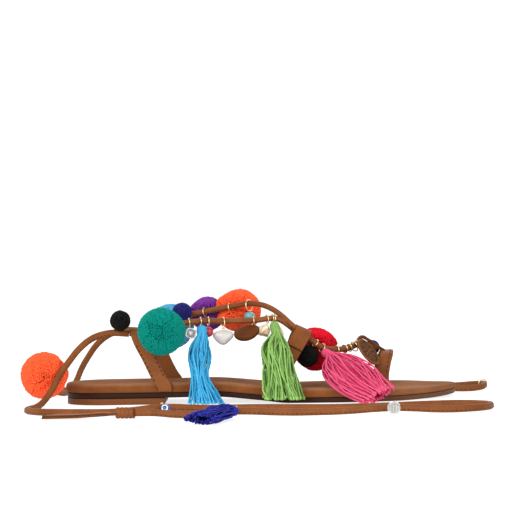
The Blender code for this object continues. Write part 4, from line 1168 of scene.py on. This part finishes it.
def make_leather_tassel(name, path, seed):
    """Flat strips that fan out on the floor from a wrapped cap, in two layers."""
    draw = np.random.default_rng(seed)
    way = unit((path[-1] - path[-3]) * (1, 1, 0))
    beside = np.cross(UP, way)
    foot = path[-1] * (1, 1, 0)
    run = np.linspace(0, CAP_LONG, CAP_STEPS)
    radius = CAP_HALF - 0.28 * abs(np.sin(np.linspace(0, np.pi * CAP_WRAPS, CAP_STEPS))) ** 6
    radius[:3] *= CAP_ROUND
    radius[-3:] *= CAP_ROUND[::-1]
    between = soft_step(0.5, 1.5, run) * soft_step(CAP_LONG - 0.5, CAP_LONG - 1.5, run)
    lift = 0.9 * np.sin(angles(24)) * between[:, None]
    start = foot + GAP * way + (CAP_HALF + 0.2) * UP
    shapes = [skin(turned(start, way, np.column_stack([run, radius]), 24, UP, lift=lift), tone=0.1)]
    share = np.linspace(0, 1, 26)
    for k in range(STRIPS):
        long = STRIP_LONG - 5 * draw.uniform() ** 2
        along = STRIP_FROM + share * (long - STRIP_FROM)
        half = np.interp(along, *FAN)
        wave = 0.5 * np.sin(2 * np.pi * (share * draw.uniform(0.7, 1.4) + draw.uniform()))
        off = (2 * k / (STRIPS - 1) - 1) * half + wave * soft_step(0.1, 0.5, share)
        height = np.interp(along, *FALL) + k % 2 * LAYER * soft_step(0.0, 0.2, share)
        line = foot + along[:, None] * way + off[:, None] * beside + height[:, None] * UP
        shapes.append(strap(line, draw.uniform(2.4, 3.4), beside, STRIP_THICK))
    return piece(f"tie_tassel_{name}_strips", joined(*shapes), CARAMEL, stands_for=[f"tie_tassel_{name}"])


# Charms: each takes its middle and the way it hangs, and gives names, shapes, finishes and slots
FACET = 1.0  # degrees between faces that read as an edge on a cut stone
SQUARENESS = 3.4  # power of the crystal's oval outline
PEBBLE = (6.6, 3.4, 4.9)  # half its size
DISC_RADIUS = 8.25
COIN_AXIS = unit((0.71, -0.39, 0.58))
COIN_SHARE = 0.91  # of the radii that its pattern is drawn at
COIN_RADIUS = 11.0
COIN_HALF = 0.42
COIN_HOLE = 8.9  # how far out it is
EYE_RADIUS = 3.0
BALL_RADIUS = 3.9


def crystal_charm(middle, _):
    """A cut stone in a silver setting: a rounded square, by a power oval, with a rim and a sunk floor."""
    angle = angles(64)
    square = (abs(np.cos(angle)) ** SQUARENESS + abs(np.sin(angle)) ** SQUARENESS) ** (-1 / SQUARENESS)
    rows = lathe_rows(SETTING, 50)
    polish = soft_step(2.25, 2.6, rows[:, 1:])
    setting = skin(turned(middle, -SIDE, rows, 64, (0.27, 0.0, 1.0), around=square), tone=polish)
    stone = facetted(middle, -SIDE, CUT, 9, UP)
    return [("setting", setting, PALE_SILVER, "silver"), ("stone", stone, CUT_STONE, "silver")]


def red_charm(middle, _):
    """A smooth round bead, turned about the upright."""
    return [("bead", skin(turned(middle, UP, lathe_rows(RED_BEAD, 24), 32)), RED_GLASS, "red_bead")]


def stone_charm(middle, _):
    """A pebble like a rounded triangle, wide above, on a gold loop."""
    ball = turned(np.zeros(3), UP, ball_rows(1.0, 22), 40)
    width = 0.60 + 0.44 * soft_step(-1.0, 0.5, ball[..., 2])
    body = ball * np.stack([width, 0.7 + 0.3 * width, np.ones_like(width)], -1) * PEBBLE
    body = body * (1 + 0.05 * waves(body, 5, 7.0))[..., None]
    loop = jump_ring(middle + PEBBLE[2] * UP, SIDE, 1.25, ALONG, 0.3)
    return [("pebble", skin(middle + body), WHITE_STONE, "stone"), ("loop", loop, GOLD, "gold")]


def disc_charm(middle, _):
    """A cut leather disc, a little curled, with a darker edge."""
    rows = lathe_rows(LEATHER_DISC, 60)
    curl = 0.45 * np.cos(2 * angles(64)) * (rows[:, 1:] / DISC_RADIUS) ** 2
    edge = 0.8 * soft_step(7.3, 8.1, rows[:, 1:])
    shape = skin(turned(middle, (-0.21, -0.5, 0.84), rows, 64, lift=curl), tone=edge)
    return [("disc", shape, DARK_LEATHER, "leather")]


def cone_charm(middle, _):
    """A cone shell: fine spiral ribs, knobs on its shoulder and a slit along it."""
    rows = lathe_rows(CONE_SHELL, 60)
    angle, along = angles(48), rows[:, :1]
    ribs = 1 + 0.025 * np.sin(2 * np.pi * along / 0.9 + angle)
    knobs = 0.09 * np.cos(9 * angle + 0.6 * along) * bell(along, 4.6, 0.9)
    slit = 0.22 * bell(angle, 4.0 + 0.05 * along, 0.16) * soft_step(-6.4, -4.0, along)
    shape = turned(middle, (0.93, 0.36, 0.02), rows, 48, SIDE, 0.9, ribs + knobs - slit)
    bands = 0.5 + 0.5 * np.sin(5 * angle + 1.7 * along + 1.4 * np.sin(along))
    # tone: colour bands, and painted shade in the slit
    return [("shell", skin(shape, tone=0.6 * bands + 2.0 * slit), SHELL, "shell")]


def cowrie_charm(middle, _):
    """An egg with a toothed slit along the side that faces out."""
    rows = lathe_rows(COWRIE, 44)
    along = rows[:, :1]
    off = np.angle(np.exp(1j * (angles(40) - 3.3)))
    slit = 0.26 * bell(off, 0, 0.2) * (1 - (along / 5.0) ** 2)
    teeth = 0.05 * np.cos(2 * np.pi * along / 0.8) * bell(abs(off), 0.32, 0.16)
    shape = turned(middle, (-0.5, -0.15, 0.85), rows, 40, SIDE, 0.77, 1 - slit + teeth)
    # tone: painted shade in the slit, paler on the teeth
    return [("shell", skin(shape, tone=2.2 * slit - teeth), SHELL, "shell")]


def turquoise_charm(middle, _):
    """A bead that isn't quite round: soft noise round its ring changes its radius."""
    ring = np.column_stack([circle(32), np.zeros(32)])
    bead = turned(middle, UP, lathe_rows(STONE_BEAD, 24), 32, around=1 + 0.03 * waves(ring, 2, 2.0))
    return [("bead", skin(bead), TURQUOISE, "turquoise")]


def coin_charm(middle, hangs):
    """A cast disc: a rim, a ring of beads and a plain rosette, with a small hole by its ring."""
    radii = np.concatenate([np.linspace(0.25, 9.6, 34), [10.0, 10.4, 10.8, COIN_RADIUS]])
    r, angle = radii[:, None], angles(112)
    beads = 0.20 * bell(r, 8.6, 0.42) * (0.5 + 0.5 * np.cos(28 * angle))
    petals = 0.26 * bell(r, 4.4, 1.5) * (0.5 + 0.5 * np.cos(8 * angle)) ** 2
    boss = 0.30 * np.exp(-((r / 1.2) ** 4)) + 0.14 * bell(r, 6.9, 0.2)
    relief = beads + petals + boss + 0.26 * soft_step(9.4, 9.8, r)
    flat = COIN_HALF - 0.25 * soft_step(10.5, COIN_RADIUS, r)
    first = square_to(SIDE, COIN_AXIS)
    at = np.arctan2(-hangs @ np.cross(COIN_AXIS, first), -hangs @ first)
    to_hole = [r * turn(angle) - COIN_HOLE * turn(at) for turn in (np.cos, np.sin)]
    hole = soft_step(1.25, 0.8, np.hypot(*to_hole))
    face = flat + relief * (1 - hole) - 0.45 * hole
    rows = COIN_SHARE * np.column_stack([0 * radii, radii])
    back, front = (turned(middle, COIN_AXIS, rows, 112, SIDE, lift=side * face) for side in (-1, 1))
    tone = np.clip(2.6 * relief * (1 - hole), 0, 1)
    shape = skin(np.concatenate([back, front[::-1]]), tone=np.concatenate([tone, tone[::-1]]))
    return [("disc", shape, BRONZE, "coin")]


def eye_charm(middle, _):
    """A glass ball with rings of colour round its pupil; tone is the share of the way from the pupil."""
    shape = turned(middle, (0.15, 1.0, -0.35), ball_rows(EYE_RADIUS, 40), 40)
    return [("bead", skin(shape, tone=np.linspace(0, 1, 40)[:, None]), EYE_GLASS, "eye")]


def crystal_ball(middle, _):
    """A cut ball: each ring of facets is turned by half a facet."""
    return [("ball", facetted(middle, UP, ball_rows(BALL_RADIUS, 7), 12, SIDE), CRYSTAL, "crystal")]


def flat_turquoise(middle, _):
    """A flat stone with a round edge, turned about the upright."""
    return [("disc", skin(turned(middle, UP, lathe_rows(FLAT_STONE, 20), 40)), TURQUOISE, "turquoise")]


def gold_disc(middle, _):
    """A hammered disc with a raised rim."""
    rows = lathe_rows(GOLD_DISC, 60)
    flat = turned(middle, UP, rows, 48)
    beaten = 0.1 * waves(flat, 9, 2.4) * soft_step(5.2, 4.6, rows[:, 1:])
    flat[..., 2] += beaten
    return [("disc", skin(flat, tone=0.5 + 3 * beaten), GREEN_GOLD, "gold")]


def make_charms(outer, inner, outer_tie, inner_tie):
    """Each charm a gap below its ring; those that swing ride on bodies of their own.

    A row gives its lace, its place there, its ring, the way it hangs, how far its middle is below the ring
    and how far along the lace, what makes it, and whether it swings.
    """
    made = {}
    for name, path, where, ring, hangs, drop, shift, build, swings in (
        ("crystal", outer, 79.7, 2.7, DOWN, 3.25, 0, crystal_charm, True),
        ("red_bead", outer, 92.6, 2.7, DOWN, 3.25, 0, red_charm, True),
        ("white_stone", outer, 101.2, 3.6, DOWN, 4.8, 0, stone_charm, True),
        ("leather_disc", outer, 120.5, 2.7, (0, -0.6, -0.8), 5.2, -5.6, disc_charm, False),
        ("cone_shell", outer, 129.4, 2.7, DOWN, 3.4, -5.4, cone_charm, True),
        ("cowrie", outer, 134.2, 2.7, DOWN, 4.6, 3.0, cowrie_charm, True),
        ("turquoise", inner, 118.2, 3.6, DOWN, 2.6, 0, turquoise_charm, True),
        ("coin", inner, 184.4, 3.1, (0.67, -0.64, -0.38), 7.0, 2.0, coin_charm, True),
        ("tie_eye", outer_tie, EYE_AT, 2.7, (0, -1, -0.08), 3.0, 0, eye_charm, False),
        ("tie_crystal", outer_tie, CRYSTAL_AT, 2.7, (0, -1, 0.06), 3.9, 0, crystal_ball, False),
        ("tie_turquoise", inner_tie, TURQUOISE_AT, 3.0, (-1, -0.1, -0.28), 4.2, -0.6, flat_turquoise, False),
        ("tie_gold_disc", inner_tie, GOLD_AT, 3.0, (-1, -0.1, -0.27), 5.3, 0, gold_disc, False),
    ):
        body = f"{name}_charm" if swings else SHOE
        spot = hung(path, where, ring, hangs, TIE / 2 if name.startswith("tie") else LACE / 2)
        parts = [ring_piece(name, spot, ring, body)]
        middle = spot.point + (spot.low + drop) * spot.hangs + shift * spot.along
        for suffix, shape, finish, slot in build(middle, spot.hangs):
            stands_for = [] if len(parts) > 1 else [f"charm_{name}"]
            sharp = FACET if finish in (CRYSTAL, CUT_STONE) else None
            parts.append(piece(f"{name}_{suffix}", shape, finish, body, stands_for, sharp))
        made[name] = parts
    return made


def make_rings(outer, inner, tie):
    """Rings that hold the tassels, and more on the lace between the poms; gives the ring on the tie."""
    for name, path, where in (("blue", outer, 87), ("green", outer, 132.3), ("pink", inner, 164)):
        ring_piece(name, hung(path, where, RING_RADIUS, DOWN), RING_RADIUS)
    on_tie = ring_piece("tie_navy", hung(tie, NAVY_AT, RING_RADIUS, DOWN, TIE / 2), RING_RADIUS)
    rings = []
    for path, radius, places in (
        (inner, RING_RADIUS, (77.4, 88.5, 105.4, 173.2)),
        (inner, SMALL_RING, (159.5, 179.3, 181.9, 187.3)),
        (outer, SMALL_RING, (178.5,)),
    ):
        spots = [hung(path, where, radius, DOWN) for where in places]
        rings += [jump_ring(spot.ring_middle, spot.along, radius, SIDE) for spot in spots]
    piece("rings_between_poms", joined(*rings), GOLD)
    return on_tie


# Floor and lamps in metres, camera in millimetres
FLOOR_HALF = 5.0
FLOOR_NEAR = -3.0
BEND_FROM = 1.2
BEND = 1.0
WALL_TOP = 5.0
FLOOR_GLOW = 0.78
SKY = 0.60
WHITE = (1.0, 1.0, 1.0, 1.0)
LAMPS = (  # name, place, size, power
    ("key", (-0.38, -0.95, 0.52), 0.8, 10.0),
    ("fill", (0.68, -0.95, 0.36), 0.8, 5.2),
    ("back", (0.1, 0.8, 0.9), 0.9, 3.0),
)
LIT = (0.09, 0.0, 0.03)  # what the lamps face
CAMERA_FROM_HEEL = 122.85
CAMERA_HEIGHT = 91.9
CAMERA_AWAY = 1500.0
VIEW_WIDTH = 327.2  # at the shoe's middle
CAMERA_ROLL = -0.0187  # the photo's floor rises to the right


def shown(name, data):
    """An object in the scene."""
    made = bpy.data.objects.new(name, data)
    bpy.context.collection.objects.link(made)
    return made


def make_stage():
    """Pale floor with a quarter circle up to its wall, white sky, soft lamps and the photo's camera."""
    bend = np.radians(np.linspace(0, 90, 24))
    profile = [(FLOOR_NEAR, 0.0), (0.0, 0.0)]
    profile += [(BEND_FROM + BEND * np.sin(a), BEND - BEND * np.cos(a)) for a in bend]
    profile += [(BEND_FROM + BEND, WALL_TOP)]
    sheet = [(x, y, z) for y, z in profile for x in (-FLOOR_HALF, FLOOR_HALF)]
    strips = [(2 * k, 2 * k + 1, 2 * k + 3, 2 * k + 2) for k in range(len(profile) - 1)]
    floor = bpy.data.meshes.new("floor")
    floor.from_pydata(sheet, [], strips)
    floor.shade_smooth()
    pale = Finish("pale_floor", roughness=0.8, specular_ior_level=0.1, emission_strength=FLOOR_GLOW)
    pale.shader.inputs["Emission Color"].default_value = WHITE
    pale.wear(Base_Color=pale.mix(pale.noise(30, 2), (0.36, 0.36, 0.36), (0.39, 0.39, 0.39)))
    floor.materials.append(pale.material)
    shown("floor", floor)

    world = bpy.data.worlds.new("studio")
    world.use_nodes = True
    sky = world.node_tree.nodes["Background"]
    sky.inputs["Color"].default_value = WHITE
    sky.inputs["Strength"].default_value = SKY
    bpy.context.scene.world = world
    for name, spot, size, power in LAMPS:
        lamp = bpy.data.lights.new(name, "AREA")
        lamp.size = size
        lamp.energy = power
        away = unit(np.array(spot) - LIT)
        across = square_to(np.cross(UP, away), away)
        turn = Matrix(np.column_stack([across, np.cross(away, across), away]).tolist()).to_4x4()
        shown(name, lamp).matrix_world = Matrix.Translation(spot) @ turn

    lens = bpy.data.cameras.new("camera")
    lens.sensor_width = 36.0
    lens.lens = lens.sensor_width * CAMERA_AWAY / VIEW_WIDTH
    camera = shown("camera", lens)
    spot = place((CAMERA_FROM_HEEL, -CAMERA_AWAY, CAMERA_HEIGHT))
    level = Matrix.Rotation(np.pi / 2, 4, "X") @ Matrix.Rotation(CAMERA_ROLL, 4, "Z")
    camera.matrix_world = Matrix.Translation(spot) @ level
    bpy.context.scene.camera = camera
    bpy.context.scene.view_settings.view_transform = "Standard"


make_stage()
make_sole()
outer_lace, inner_lace = make_upper()
outer_tie, outer_path, outer_sewn = make_tie("lateral", TIE_LATERAL)
inner_tie, inner_path, inner_sewn = make_tie("medial", TIE_MEDIAL)
poms = make_poms(outer_lace, inner_lace, outer_path)
navy_tassel = make_tassels()
charms = make_charms(outer_lace, inner_lace, outer_path, inner_path)
navy_ring = make_rings(outer_lace, inner_lace, outer_path)
on_outer = [outer_sewn, make_leather_tassel("lateral", outer_path, 21)]
on_outer += [poms["tie_black"], poms["tie_orange"], navy_tassel, navy_ring]
on_outer += [*charms["tie_eye"], *charms["tie_crystal"]]
on_inner = [inner_sewn, make_leather_tassel("medial", inner_path, 22)]
on_inner += [*charms["tie_turquoise"], *charms["tie_gold_disc"]]
